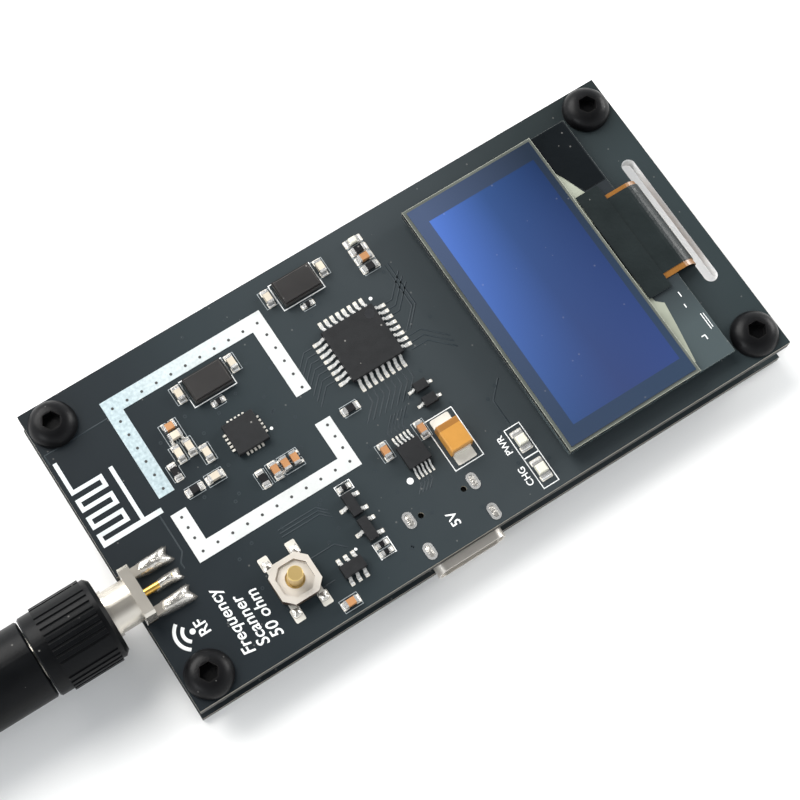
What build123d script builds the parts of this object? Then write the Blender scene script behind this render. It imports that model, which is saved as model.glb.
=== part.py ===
from build123d import *
import math
import os

# Pocket spectrum analyzer: two boards joined by four screws and spacers, a display on foam tape,
# an edge-mounted coaxial connector with a screw-on folding antenna, one push switch and a data socket.
# Frame: millimetres, +Z up, origin at the centre of the underside of the back board.
# +X runs from the antenna end to the display end. Board places are measured from the main board's
# left edge (-X side) and its top edge (+Y side).

# ---------------------------------------------------------------- boards and fixings
board_length = 80.0
board_width = 40.0
board_thickness = 1.6
back_thickness = 1.0
board_gap = 3.5
relief_depth = 3.4
relief_length = 24.0
relief_top = 6.8
relief_corner = 1.0
screw_inset = 3.0
screw_diameter = 3.0
screw_hole_clearance = 0.1
screw_head_diameter = 5.7
screw_head_height = 1.65
screw_length = 5.0
hex_key_size = 2.0
hex_key_depth = 1.1
screw_rim = 0.25
screw_crown_share = 0.42
screw_dome_out = 0.8
screw_dome_up = 0.74
spacer_diameter = 5.0
spacer_spigot_diameter = 4.0
spacer_bore_clearance = 0.02

# ---------------------------------------------------------------- printed copper left bare
copper_thickness = 0.05
shield_left = 8.7
shield_right = 30.2
shield_top = 3.7
shield_bottom = 25.8
shield_strip_width = 2.0
shield_left_gap = (17.0, 19.4)
shield_right_gap = (15.1, 19.0)
trace_width = 0.5
trace_feed_width = 0.65
trace_left = 0.8
trace_finger_right = 4.45
trace_start = 7.1
trace_first_finger = 11.2
trace_finger_pitch = 1.18
trace_finger_count = 7
trace_feed_end = 8.3
trace_stub_left = 5.95
trace_stub_start = 10.8

# ---------------------------------------------------------------- display
foam_thickness = 1.0
foam_margin = 0.6
glass_length = 34.5
rear_glass_width = 23.0
rear_glass_thickness = 0.7
front_glass_width = 18.0
front_glass_thickness = 0.7
display_right_margin = 6.7
display_top = 3.2
polariser_thickness = 0.15
polariser_margin = 0.4
driver_length = 11.0
driver_width = 1.1
driver_height = 0.3
driver_offset = 0.5
flex_length = 12.4
flex_thickness = 0.12
flex_bond = 1.6
flex_top = 13.9
flex_upper_bend = 2.2
flex_upper_drop = 0.2
flex_lower_bend = 0.6
flex_fold_run = 0.6
flex_fold_ramp = 0.9
tail_reach = 5.0
slot_right_margin = 2.0
slot_width = 1.7
slot_length = 18.2
slot_top = 10.9
slot_side_clearance = 0.12
tape_length = 15.0
tape_thickness = 0.08
tape_glass_gap = 0.3
tape_top = 12.4
tape_bridge_length = 11.2
tape_bridge_top = 14.4

# ---------------------------------------------------------------- coaxial connector
connector_top = 25.5
flange_inset = 0.25
flange_size = 6.35
flange_thickness = 1.3
flange_notch_clearance = 0.1
flange_chamfer = 0.35
neck_diameter = 5.25
neck_length = 2.75
ring_diameter = 5.7
ring_length = 0.45
thread_diameter = 6.2
thread_length = 6.2
thread_chamfer = 0.25
leg_width = 1.15
leg_height = 1.0
leg_length = 3.9
leg_spread = 5.1
leg_overlap = 0.3
pin_diameter = 0.9
pin_length = 3.8
insulator_diameter = 4.1
socket_diameter = 1.4
socket_bore = 1.0
socket_depth = 3.5
mating_recess = 1.9

# ---------------------------------------------------------------- antenna
antenna_length = 108.0
collar_length = 8.9
collar_diameter = 9.8
band_diameter = 10.3
band_start = 1.05
band_length = 6.15
flute_group_count = 4
flutes_per_group = 8
flute_pitch_angle = 9.5
flute_radius = 0.2
mouth_clearance = 0.2
nut_wall = 0.8
nut_start = 0.3
nut_length = 7.9
nut_lip = 1.4
nut_thread_clearance = 0.1
collar_mouth_chamfer = 0.5
collar_rear_chamfer = 0.2
plug_diameter = 5.2
plug_clearance = 0.1
plug_depth = 4.0
plug_bore = 2.0
contact_diameter = 0.88
contact_reach = 2.6
contact_chamfer = 0.2
swivel_gap = 0.15
swivel_diameter = 9.5
swivel_chamfer = 0.2
hinge_place = 27.0
hinge_shoulder = 5.0
hinge_floor_clearance = 0.2
hinge_pin_diameter = 2.4
hinge_pin_length = 8.8
hinge_pin_clearance = 0.1
tongue_width = 4.4
tongue_side_clearance = 0.15
tongue_diameter = 9.0
mast_straight = 14.0
mast_tip_diameter = 7.2
mast_tip_round = 1.6
mast_tip_shoulder_in = 0.35
mast_tip_shoulder_down = 0.3
mast_bore = 4.0
mast_root_wall = 7.0
mast_tip_wall = 5.0
sleeve_length = 26.0
sleeve_wall = 0.4
whip_length = 28.0
whip_diameter = 1.0

# ---------------------------------------------------------------- push switch
switch_left = 16.55
switch_top = 33.2
switch_size = 5.2
switch_corner = 1.1
switch_height = 1.5
cover_wall = 0.15
cover_top = 0.45
cover_recess = 0.3
cover_recess_margin = 0.62
cover_hole = 2.3
switch_base_height = 1.0
switch_well_diameter = 3.4
switch_well_depth = 0.75
dome_diameter = 3.2
dome_rise = 0.12
dome_thickness = 0.06
plunger_diameter = 1.8
plunger_top = 3.8
plunger_foot_diameter = 2.9
plunger_foot_height = 0.25
plunger_top_gap = 0.02
terminal_width = 0.7
terminal_gauge = 0.15
terminal_reach = 1.2
terminal_spacing = 3.6
terminal_root = 0.6
terminal_gap_margin = 0.1
skirt_share = 0.3
recess_corner_share = 0.9
plunger_chamfer = 0.08

# ---------------------------------------------------------------- data socket on the underside
socket_left = 35.4
socket_overhang = 1.0
shell_width = 8.94
shell_height = 3.16
shell_length = 7.35
shell_wall = 0.3
shell_corner = 1.25
shell_leg_width = 1.0
shell_leg_spacing = 4.18
shell_leg_setback = 2.6
shell_leg_sunk = 0.25
leg_slot_clearance = 0.2
socket_block_length = 1.5
tongue_plate_width = 6.7
tongue_plate_height = 0.7
tongue_plate_length = 4.4
peg_spacing = 5.78
peg_diameter = 0.5
peg_clearance = 0.1
peg_length = 0.9
contact_strip_width = 0.28
contact_strip_length = 3.2
contact_strip_gauge = 0.08
contact_strip_pitch = 0.5
contact_strip_count = 12
contact_tail_length = 0.9

# ---------------------------------------------------------------- where the small parts sit
# (from the left edge, from the top edge, turn in degrees)
crystal_places = [(20.55, 8.15, 0), (35.5, 3.6, 0)]
plain_capacitor_places = [
    (17.0, 7.6, 90), (24.1, 7.6, 90), (31.85, 3.1, 90), (39.1, 3.1, 90),
    (14.05, 11.65, 0), (13.3, 13.7, 90), (14.75, 13.6, 90), (16.05, 15.3, 90), (15.35, 18.2, 0),
]
tan_capacitor_places = [
    (14.05, 10.45, 0), (21.5, 21.2, 90), (22.85, 21.2, 90), (24.1, 21.2, 90),
    (44.1, 4.8, 0), (33.2, 26.0, 90), (38.15, 26.0, 90), (20.45, 38.6, 0),
]
resistor_places = [
    (11.85, 15.3, 90), (12.65, 18.25, 0), (19.8, 21.3, 90), (32.65, 19.55, 0),
    (44.1, 3.55, 0), (44.1, 6.1, 0),
]
small_resistor_places = [
    (20.4, 10.75, 0), (35.4, 6.2, 0), (26.95, 27.05, 0), (26.95, 34.85, 0), (26.95, 35.85, 0),
]
small_led_places = [(44.1, 2.3, 0)]
large_led_places = [(47.0, 33.15, 90), (47.0, 37.15, 90)]
diode_places = [(40.85, 21.65, 0), (40.85, 23.6, 0)]
transistor_places = [(26.55, 29.3, 0), (26.55, 32.6, 0)]
regulator_place = (22.75, 35.4, 0)
tantalum_place = (40.6, 28.8, 0)
processor_place = (38.05, 13.75, 0)
radio_place = (20.95, 15.7, 0)
bridge_place = (35.75, 27.95, 0)

# ---------------------------------------------------------------- sizes of the small parts
# (length, width, height, end cap length)
chip_0603 = (1.6, 0.8, 0.8, 0.3)
flat_chip_0603 = (1.6, 0.8, 0.45, 0.3)
flat_chip_0402 = (1.0, 0.5, 0.35, 0.22)
led_0603 = (1.6, 0.8, 0.25, 0.3)
led_0805 = (2.0, 1.25, 0.35, 0.4)
led_lens_height = 0.4
led_lens_inset = 0.05
led_lens_chamfer = 0.12
crystal_size = (5.0, 3.2, 0.95)
crystal_lid_size = (4.7, 2.9, 0.2)
crystal_lid_chamfer = 0.08
crystal_pad_size = (1.2, 2.0, 0.06)
tantalum_size = (2.8, 3.5, 1.9)
tantalum_foot = (2.2, 0.8, 0.12)
tantalum_strap_height = 1.0
tantalum_chamfer = 0.15
# (body length, body width, body height, stand-off)
processor_body = (7.0, 7.0, 1.0, 0.1)
bridge_body = (3.0, 3.0, 0.85, 0.1)
radio_body = (4.0, 4.0, 0.85, 0.03)
transistor_body = (1.3, 2.9, 1.0, 0.05)
regulator_body = (2.9, 1.6, 1.1, 0.05)
diode_body = (1.7, 1.25, 0.9, 0.05)
# (width, reach past the body, foot length, gauge)
processor_lead = (0.37, 1.0, 0.6, 0.13)
bridge_lead = (0.2, 0.95, 0.5, 0.13)
transistor_lead = (0.4, 0.55, 0.3, 0.12)
regulator_lead = (0.4, 0.6, 0.35, 0.12)
diode_lead = (0.3, 0.4, 0.25, 0.12)
processor_pitch = 0.8
bridge_pitch = 0.5
transistor_pitch = 0.95
radio_pitch = 0.5
radio_pad = (0.25, 0.35, 0.25)
radio_pads_per_side = 5
radio_ground_pad_share = 0.6
radio_chamfer = 0.06
processor_leads_per_side = 8
bridge_leads_per_side = 5
regulator_leads_per_side = 3
mould_draft_angle = 8
cap_skin = 0.02
lead_shoulder_share = 0.4

# ---------------------------------------------------------------- heights and places worked out
board_bottom = back_thickness + board_gap
board_top = board_bottom + board_thickness
left_edge = -board_length / 2
right_edge = board_length / 2
top_edge = board_width / 2
bottom_edge = -board_width / 2
axis_height = board_top + pin_diameter / 2
axis_y = top_edge - connector_top
flange_outer_x = left_edge + flange_inset
flange_inner_x = flange_outer_x + flange_thickness
notch_depth = flange_inset + flange_thickness
mouth_x = flange_outer_x - neck_length - ring_length
glass_left_x = right_edge - display_right_margin - rear_glass_width
glass_right_x = glass_left_x + rear_glass_width
glass_top_y = top_edge - display_top
glass_centre_y = glass_top_y - glass_length / 2
nut_diameter = thread_diameter + 2 * (nut_thread_clearance + nut_wall)
mouth_diameter = thread_diameter + 2 * mouth_clearance
slot_right_x = right_edge - slot_right_margin
slot_left_x = slot_right_x - slot_width
socket_x = left_edge + socket_left
shell_front_y = bottom_edge - socket_overhang
shell_back_y = shell_front_y + shell_length
screw_centres = [
    (side_x * (board_length / 2 - screw_inset), side_y * (board_width / 2 - screw_inset))
    for side_x in (-1, 1)
    for side_y in (-1, 1)
]

nodes = {}


# ================================================================ shared shapes
def standing(length, width, height, low=0.0):
    """Box centred on the Z axis with its underside at height low."""
    box = Box(length, width, height, align=(Align.CENTER, Align.CENTER, Align.MIN))
    return Pos(0, 0, low) * box


def span(x_low, x_high, y_low, y_high, z_low, z_high):
    """Box between six face positions."""
    middle = Pos((x_low + x_high) / 2, (y_low + y_high) / 2, z_low)
    return middle * standing(x_high - x_low, y_high - y_low, z_high - z_low)


def rod(diameter, low, high):
    """Cylinder on the Z axis between two heights."""
    cylinder = Cylinder(diameter / 2, high - low, align=(Align.CENTER, Align.CENTER, Align.MIN))
    return Pos(0, 0, low) * cylinder


def ribbon(points, width):
    """Closed outline in the XZ plane, drawn out evenly along Y."""
    outline = make_face(Polyline(*points, close=True))
    return extrude(Plane.XZ * outline, amount=width / 2, both=True)


def turned(points):
    """Closed outline of (radius, height) points, spun about the Z axis."""
    outline = make_face(Polyline(*points, close=True))
    return revolve(Plane.XZ * outline, axis=Axis.Z)


def on_board(place):
    """Location on the main board's top face."""
    left, top, turn = place
    return Pos(left_edge + left, top_edge - top, board_top) * Rot(0, 0, turn)


def put(name, location, solids):
    """Add each solid, moved to its location, to the named node."""
    for solid in solids:
        nodes.setdefault(name, []).append(location * solid)


def gull_lead(width, reach, foot, gauge, rise):
    """Bent lead that leaves a body at X = 0 and height rise and ends in a flat foot."""
    shoulder = (reach - foot) * lead_shoulder_share
    knee = reach - foot
    outline = [
        (0, rise), (shoulder + gauge, rise), (knee + gauge, gauge), (reach, gauge),
        (reach, 0), (knee, 0), (shoulder, rise - gauge), (0, rise - gauge),
    ]
    return ribbon(outline, width)


def lead_row(count, pitch, body_half, lead, rise):
    """A row of equal leads along the +X side of a body."""
    first = -(count - 1) * pitch / 2
    width, reach, foot, gauge = lead
    return [
        Pos(body_half, first + index * pitch, 0) * gull_lead(width, reach, foot, gauge, rise)
        for index in range(count)
    ]


def moulded(size):
    """Moulded body with drafted upper and lower halves."""
    length, width, height, stand_off = size
    half = height / 2
    section = Pos(0, 0, stand_off + half) * Rectangle(length, width)
    upper = extrude(section, amount=half, taper=mould_draft_angle)
    lower = extrude(section, amount=-half, taper=mould_draft_angle)
    return upper + lower


def end_cap_chip(size):
    """Ceramic middle and the two metal ends of a chip part."""
    length, width, height, cap = size
    middle = standing(length - 2 * cap, width, height, cap_skin)
    ends = [
        Pos(side * (length - cap) / 2, 0, 0) * standing(cap, width + 2 * cap_skin, height + 2 * cap_skin)
        for side in (-1, 1)
    ]
    return middle, ends


# ================================================================ boards
def build_main_board():
    outline = Rectangle(board_length, board_width)
    notch_width = flange_size + 2 * flange_notch_clearance
    notch = Pos(left_edge + notch_depth / 2, axis_y) * Rectangle(notch_depth, notch_width)
    slot_y = top_edge - slot_top - slot_length / 2
    slot_x = (slot_left_x + slot_right_x) / 2
    flex_slot = Pos(slot_x, slot_y) * Rot(0, 0, 90) * SlotOverall(slot_length, slot_width)
    outline = outline - notch - flex_slot
    hole_radius = screw_diameter / 2 + screw_hole_clearance
    for x, y in screw_centres:
        outline -= Pos(x, y) * Circle(hole_radius)
    for x, y in shell_leg_centres():
        slot_span = shell_leg_width + 2 * leg_slot_clearance
        slot = SlotOverall(slot_span, shell_wall + 2 * leg_slot_clearance)
        outline -= Pos(x, y) * Rot(0, 0, 90) * slot
    for x, y in peg_centres():
        outline -= Pos(x, y) * Circle(peg_diameter / 2 + peg_clearance)
    nodes["main_board"] = [Pos(0, 0, board_bottom) * extrude(outline, amount=board_thickness)]


def build_back_board():
    """Plain board with an open relief in its end, below the display's film."""
    outline = Rectangle(board_length, board_width)
    for x, y in screw_centres:
        outline -= Pos(x, y) * Circle(spacer_spigot_diameter / 2)
    relief = RectangleRounded(2 * relief_depth, relief_length, relief_corner)
    outline -= Pos(right_edge, top_edge - relief_top - relief_length / 2) * relief
    nodes["back_board"] = [extrude(outline, amount=back_thickness)]


def build_spacers():
    bore = screw_diameter + 2 * spacer_bore_clearance
    barrel = rod(spacer_diameter, back_thickness, board_bottom)
    spigot = rod(spacer_spigot_diameter, 0, back_thickness)
    spacer = barrel + spigot - rod(bore, 0, board_bottom)
    nodes["spacers"] = [Pos(x, y, 0) * spacer for x, y in screw_centres]


def build_screws():
    """Button-head screws: a domed head with a hexagonal socket."""
    head_radius = screw_head_diameter / 2
    crown_radius = head_radius * screw_crown_share
    crown_height = board_top + screw_head_height
    rim_height = board_top + screw_rim
    arc_middle = (head_radius * screw_dome_out, board_top + screw_head_height * screw_dome_up)
    dome = ThreePointArc((head_radius, rim_height), arc_middle, (crown_radius, crown_height))
    top_line = Line((crown_radius, crown_height), (0, crown_height))
    centre_line = Line((0, crown_height), (0, board_top))
    base_line = Line((0, board_top), (head_radius, board_top))
    rim_line = Line((head_radius, board_top), (head_radius, rim_height))
    profile = make_face(Wire([dome, top_line, centre_line, base_line, rim_line]))
    head = revolve(Plane.XZ * profile, axis=Axis.Z)
    socket_floor = crown_height - hex_key_depth
    hexagon = RegularPolygon(hex_key_size / 2, 6, major_radius=False)
    head -= Pos(0, 0, socket_floor) * extrude(hexagon, amount=hex_key_depth)
    shank = rod(screw_diameter, board_top - screw_length, board_top)
    screw = head + shank
    nodes["board_screws"] = [Pos(x, y, 0) * screw for x, y in screw_centres]


# ================================================================ bare copper
def strip(left, right, top, bottom):
    """Flat piece of tinned copper between distances from the left and top edges."""
    return span(
        left_edge + left, left_edge + right,
        top_edge - bottom, top_edge - top,
        board_top, board_top + copper_thickness,
    )


def build_shield_strips():
    """Two open frames of tinned copper around the radio."""
    width = shield_strip_width
    upper = strip(shield_left, shield_right, shield_top, shield_top + width)
    upper += strip(shield_left, shield_left + width, shield_top, shield_left_gap[0])
    upper += strip(shield_right - width, shield_right, shield_top, shield_right_gap[0])
    lower = strip(shield_left, shield_right, shield_bottom - width, shield_bottom)
    lower += strip(shield_left, shield_left + width, shield_left_gap[1], shield_bottom)
    lower += strip(shield_right - width, shield_right, shield_right_gap[1], shield_bottom)
    nodes["shield_strips"] = [upper, lower]


def build_antenna_trace():
    """Meandering printed antenna with its feed and its shorting stub."""
    half = trace_width / 2
    rows = [trace_first_finger + index * trace_finger_pitch for index in range(trace_finger_count)]
    right = trace_finger_right
    left = trace_left
    shape = strip(left - half, left + half, trace_start, rows[0] + half)
    for index, row in enumerate(rows):
        shape += strip(left - half, right + half, row - half, row + half)
        if index + 1 < len(rows):
            column = right if index % 2 == 0 else left
            shape += strip(column - half, column + half, row, rows[index + 1])
    feed = rows[-1]
    stub = trace_stub_left
    feed_half = trace_feed_width / 2
    shape += strip(left - half, trace_feed_end, feed - feed_half, feed + feed_half)
    shape += strip(stub - half, stub + half, trace_stub_start, feed)
    nodes["antenna_trace"] = [shape]


# ================================================================ display
def build_display():
    """Two bonded panes on foam tape, with a driver chip on the ledge."""
    y_low = glass_centre_y - glass_length / 2
    y_high = glass_top_y
    foam_high = board_top + foam_thickness
    rear_high = foam_high + rear_glass_thickness
    front_high = rear_high + front_glass_thickness
    front_right = glass_left_x + front_glass_width
    nodes["display_foam"] = [span(
        glass_left_x + foam_margin, glass_right_x - foam_margin,
        y_low + foam_margin, y_high - foam_margin, board_top, foam_high,
    )]
    nodes["display_rear_glass"] = [span(glass_left_x, glass_right_x, y_low, y_high, foam_high, rear_high)]
    nodes["display_front_glass"] = [span(glass_left_x, front_right, y_low, y_high, rear_high, front_high)]
    nodes["display_polariser"] = [span(
        glass_left_x + polariser_margin, front_right - polariser_margin,
        y_low + polariser_margin, y_high - polariser_margin,
        front_high, front_high + polariser_thickness,
    )]
    driver_x = front_right + driver_offset
    driver_y = top_edge - flex_top - flex_length / 2
    nodes["display_driver"] = [span(
        driver_x, driver_x + driver_width,
        driver_y - driver_length / 2, driver_y + driver_length / 2,
        rear_high, rear_high + driver_height,
    )]


def offset_path(points, distance):
    """Points moved sideways by distance, with each corner mitred."""
    moved = []
    for index, (x, z) in enumerate(points):
        before = points[max(index - 1, 0)]
        after = points[min(index + 1, len(points) - 1)]
        first = math.atan2(z - before[1], x - before[0]) if index else None
        second = math.atan2(after[1] - z, after[0] - x) if index + 1 < len(points) else None
        first = second if first is None else first
        second = first if second is None else second
        turn = (second - first + math.pi) % (2 * math.pi) - math.pi
        bisector = first + turn / 2 + math.pi / 2
        reach = distance / math.cos(turn / 2)
        moved.append((x + reach * math.cos(bisector), z + reach * math.sin(bisector)))
    return moved


def arc_points(centre_x, centre_z, radius, start, end, steps):
    """Points along an arc, with angles in degrees."""
    angles = [math.radians(start + (end - start) * step / steps) for step in range(steps + 1)]
    return [(centre_x + radius * math.cos(a), centre_z + radius * math.sin(a)) for a in angles]


def flex_centre_line():
    """Middle of the film: along the ledge, down through the slot and back under the board."""
    ledge = board_top + foam_thickness + rear_glass_thickness + flex_thickness / 2
    down_x = slot_left_x + slot_side_clearance + flex_thickness / 2
    turn_x = down_x - flex_upper_bend
    bend = flex_lower_bend
    under = board_bottom - bend - flex_thickness / 2
    points = [(glass_right_x - flex_bond, ledge), (turn_x, ledge)]
    points += arc_points(turn_x, ledge - flex_upper_bend, flex_upper_bend, 80, 10, 7)
    points += [(down_x, ledge - flex_upper_bend - flex_upper_drop)]
    points += arc_points(down_x - bend, under + bend, bend, 0, -90, 6)
    fold_x = down_x - bend - flex_fold_run
    points += [(fold_x, under)]
    points += [(fold_x - flex_fold_ramp, board_bottom - flex_thickness / 2)]
    points += [(fold_x - tail_reach, board_bottom - flex_thickness / 2)]
    return points


def build_flex():
    """Film that joins the panes to the board, and the tape that covers it."""
    middle = flex_centre_line()
    half = flex_thickness / 2
    upper = offset_path(middle, half)
    lower = offset_path(middle, -half)
    film = ribbon(upper + lower[::-1], flex_length)
    flex_y = top_edge - flex_top - flex_length / 2
    nodes["display_flex"] = [Pos(0, flex_y, 0) * film]
    over = [point for point in upper if point[1] > board_top - board_thickness / 2]
    tape_outer = offset_path(over, tape_thickness)
    bridge = ribbon(tape_outer + over[::-1], tape_bridge_length)
    bridge_y = top_edge - tape_bridge_top - tape_bridge_length / 2
    ledge_left = glass_left_x + front_glass_width + tape_glass_gap
    ledge_low = board_top + foam_thickness + rear_glass_thickness
    cover_low = ledge_low + driver_height
    tape_y = top_edge - tape_top
    cover = span(
        ledge_left, glass_right_x - flex_bond,
        tape_y - tape_length, tape_y, cover_low, cover_low + tape_thickness,
    )
    nodes["flex_tape"] = [Pos(0, bridge_y, 0) * bridge, cover]


# ================================================================ chips and small parts
def build_processor():
    """Quad flat pack: moulded body and eight leads on each side."""
    spot = on_board(processor_place)
    put("processor_body", spot, [moulded(processor_body)])
    rise = processor_body[3] + processor_body[2] / 2 + processor_lead[3] / 2
    row = lead_row(processor_leads_per_side, processor_pitch, processor_body[0] / 2, processor_lead, rise)
    for quarter in range(4):
        put("processor_leads", spot * Rot(0, 0, 90 * quarter), row)


def build_bridge():
    """Small serial bridge with five leads on its top and bottom sides."""
    spot = on_board(bridge_place)
    put("bridge_body", spot, [moulded(bridge_body)])
    rise = bridge_body[3] + bridge_body[2] / 2 + bridge_lead[3] / 2
    row = lead_row(bridge_leads_per_side, bridge_pitch, bridge_body[1] / 2, bridge_lead, rise)
    for turn in (90, 270):
        put("bridge_leads", spot * Rot(0, 0, turn), row)


def build_radio():
    """Leadless radio chip with five solder pads showing on each side."""
    spot = on_board(radio_place)
    length, width, height, stand_off = radio_body
    body = standing(length, width, height, stand_off)
    put("radio_body", spot, [chamfer(body.faces().sort_by(Axis.Z)[-1].edges(), radio_chamfer)])
    pad_width, pad_reach, pad_height = radio_pad
    pad = standing(pad_reach, pad_width, pad_height)
    middle_pad = (radio_pads_per_side - 1) / 2
    row = [
        Pos(length / 2 + pad_reach / 2, (index - middle_pad) * radio_pitch, 0) * pad
        for index in range(radio_pads_per_side)
    ]
    for quarter in range(4):
        put("radio_pads", spot * Rot(0, 0, 90 * quarter), row)
    ground = standing(length * radio_ground_pad_share, width * radio_ground_pad_share, stand_off)
    put("radio_pads", spot, [ground])


def build_crystals():
    length, width, height = crystal_size
    lid_length, lid_width, lid_height = crystal_lid_size
    pad_length, pad_width, pad_height = crystal_pad_size
    base = standing(length, width, height, pad_height)
    lid = standing(lid_length, lid_width, lid_height, height + pad_height)
    lid = chamfer(lid.faces().sort_by(Axis.Z)[-1].edges(), crystal_lid_chamfer)
    for place in crystal_places:
        spot = on_board(place)
        put("crystal_bases", spot, [base])
        put("crystal_lids", spot, [lid])
        pads = [Pos(side * (length - pad_length) / 2, 0, 0) * standing(pad_length, pad_width, pad_height)
                for side in (-1, 1)]
        put("crystal_pads", spot, pads)


def build_chip_parts():
    """Capacitors, resistors and their plated ends."""
    groups = [
        (plain_capacitor_places, chip_0603, "plain_capacitors", "capacitor_ends"),
        (tan_capacitor_places, chip_0603, "tan_capacitors", "capacitor_ends"),
        (resistor_places, flat_chip_0603, "resistors", "resistor_ends"),
        (small_resistor_places, flat_chip_0402, "resistors", "resistor_ends"),
    ]
    for places, size, middle_name, end_name in groups:
        middle, ends = end_cap_chip(size)
        for place in places:
            put(middle_name, on_board(place), [middle])
            put(end_name, on_board(place), ends)


def build_leds():
    """Indicator lamps: carrier, clear lens and plated ends."""
    for places, size in ((small_led_places, led_0603), (large_led_places, led_0805)):
        length, width, height, cap = size
        carrier, ends = end_cap_chip(size)
        lens_length = length - 2 * (cap + led_lens_inset)
        lens = standing(lens_length, width - led_lens_inset, led_lens_height, carrier.bounding_box().max.Z)
        lens = chamfer(lens.faces().sort_by(Axis.Z)[-1].edges(), led_lens_chamfer)
        for place in places:
            put("led_carriers", on_board(place), [carrier])
            put("led_ends", on_board(place), ends)
            put("led_lenses", on_board(place), [lens])


def build_tantalum():
    """Moulded polarised capacitor with a strap and foot at each end."""
    width, length, height = tantalum_size
    foot_width, foot_length, gauge = tantalum_foot
    spot = on_board(tantalum_place)
    body = standing(width, length, height - gauge, gauge)
    body = chamfer(body.faces().sort_by(Axis.Z)[-1].edges(), tantalum_chamfer)
    put("tantalum_body", spot, [body])
    outline = [
        (length / 2 - foot_length, 0), (length / 2 + gauge, 0), (length / 2 + gauge, tantalum_strap_height),
        (length / 2, tantalum_strap_height), (length / 2, gauge), (length / 2 - foot_length, gauge),
    ]
    strap = ribbon(outline, foot_width)
    put("tantalum_straps", spot, [Rot(0, 0, 90) * strap, Rot(0, 0, -90) * strap])


def build_small_outlines():
    """Diodes, transistors and the regulator."""
    for place in diode_places:
        spot = on_board(place)
        rise = diode_body[3] + diode_body[2] / 2 + diode_lead[3] / 2
        put("diode_bodies", spot, [moulded(diode_body)])
        for turn in (0, 180):
            put("diode_leads", spot * Rot(0, 0, turn), lead_row(1, 0, diode_body[0] / 2, diode_lead, rise))
    for place in transistor_places:
        spot = on_board(place)
        rise = transistor_body[3] + transistor_body[2] / 2 + transistor_lead[3] / 2
        half = transistor_body[0] / 2
        put("transistor_bodies", spot, [moulded(transistor_body)])
        put("transistor_leads", spot, lead_row(2, 2 * transistor_pitch, half, transistor_lead, rise))
        put("transistor_leads", spot * Rot(0, 0, 180), lead_row(1, 0, half, transistor_lead, rise))
    spot = on_board(regulator_place)
    rise = regulator_body[3] + regulator_body[2] / 2 + regulator_lead[3] / 2
    put("regulator_body", spot, [moulded(regulator_body)])
    row = lead_row(regulator_leads_per_side, transistor_pitch, regulator_body[1] / 2, regulator_lead, rise)
    for turn in (90, 270):
        put("regulator_leads", spot * Rot(0, 0, turn), row)


# ================================================================ push switch
def octagon(size, corner):
    """Square with its four corners cut off."""
    return chamfer(Rectangle(size, size).vertices(), corner)


def build_switch():
    spot = on_board((switch_left, switch_top, 0))
    inner_size = switch_size - 2 * cover_wall
    base = extrude(octagon(inner_size, switch_corner), amount=switch_base_height)
    well_floor = switch_base_height - switch_well_depth
    base -= rod(switch_well_diameter, well_floor, switch_base_height)

    skirt_low = switch_base_height * skirt_share
    ceiling = switch_height - cover_top
    skirt = extrude(octagon(switch_size, switch_corner), amount=switch_height - skirt_low)
    room = extrude(octagon(inner_size, switch_corner), amount=ceiling - skirt_low)
    cover = Pos(0, 0, skirt_low) * (skirt - room)
    recess_size = switch_size - 2 * cover_recess_margin
    recess = octagon(recess_size, switch_corner * recess_corner_share)
    cover -= Pos(0, 0, switch_height - cover_recess) * extrude(recess, amount=cover_recess)
    cover -= rod(cover_hole, 0, switch_height)
    for side in (-1, 1):
        for along in (-1, 1):
            gap_width = terminal_width + 2 * terminal_gap_margin
            gap = standing(gap_width, terminal_root, terminal_gauge * 2, skirt_low)
            cover -= Pos(along * terminal_spacing / 2, side * inner_size / 2, 0) * gap
    put("switch_cover", spot, [cover])

    dome = turned([
        (0, well_floor + dome_rise), (dome_diameter / 2, well_floor),
        (dome_diameter / 2, well_floor + dome_thickness), (0, well_floor + dome_rise + dome_thickness),
    ])
    put("switch_dome", spot, [dome])

    foot_top = ceiling - plunger_top_gap
    foot = rod(plunger_foot_diameter, foot_top - plunger_foot_height, foot_top)
    stem = rod(plunger_diameter, foot_top - plunger_foot_height, plunger_top)
    stem = chamfer(stem.faces().sort_by(Axis.Z)[-1].edges(), plunger_chamfer)
    put("switch_plunger", spot, [stem + foot])

    edge = inner_size / 2
    root = edge - terminal_root
    tip = edge + terminal_reach
    outline = [(root, 0), (tip, 0), (tip, terminal_gauge), (root, terminal_gauge)]
    tab = ribbon(outline, terminal_width)
    tabs = [
        Rot(0, 0, turn) * Pos(0, along * terminal_spacing / 2, 0) * tab
        for turn in (90, -90)
        for along in (-1, 1)
    ]
    put("switch_base", spot, [base - tabs])
    put("switch_terminals", spot, tabs)


# ================================================================ coaxial connector and antenna
def along_connector():
    """Frame on the connector's axis: local Z points out to the antenna, local X points up."""
    return Plane(origin=(flange_outer_x, axis_y, axis_height), x_dir=(0, 0, 1), z_dir=(-1, 0, 0)).location


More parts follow.
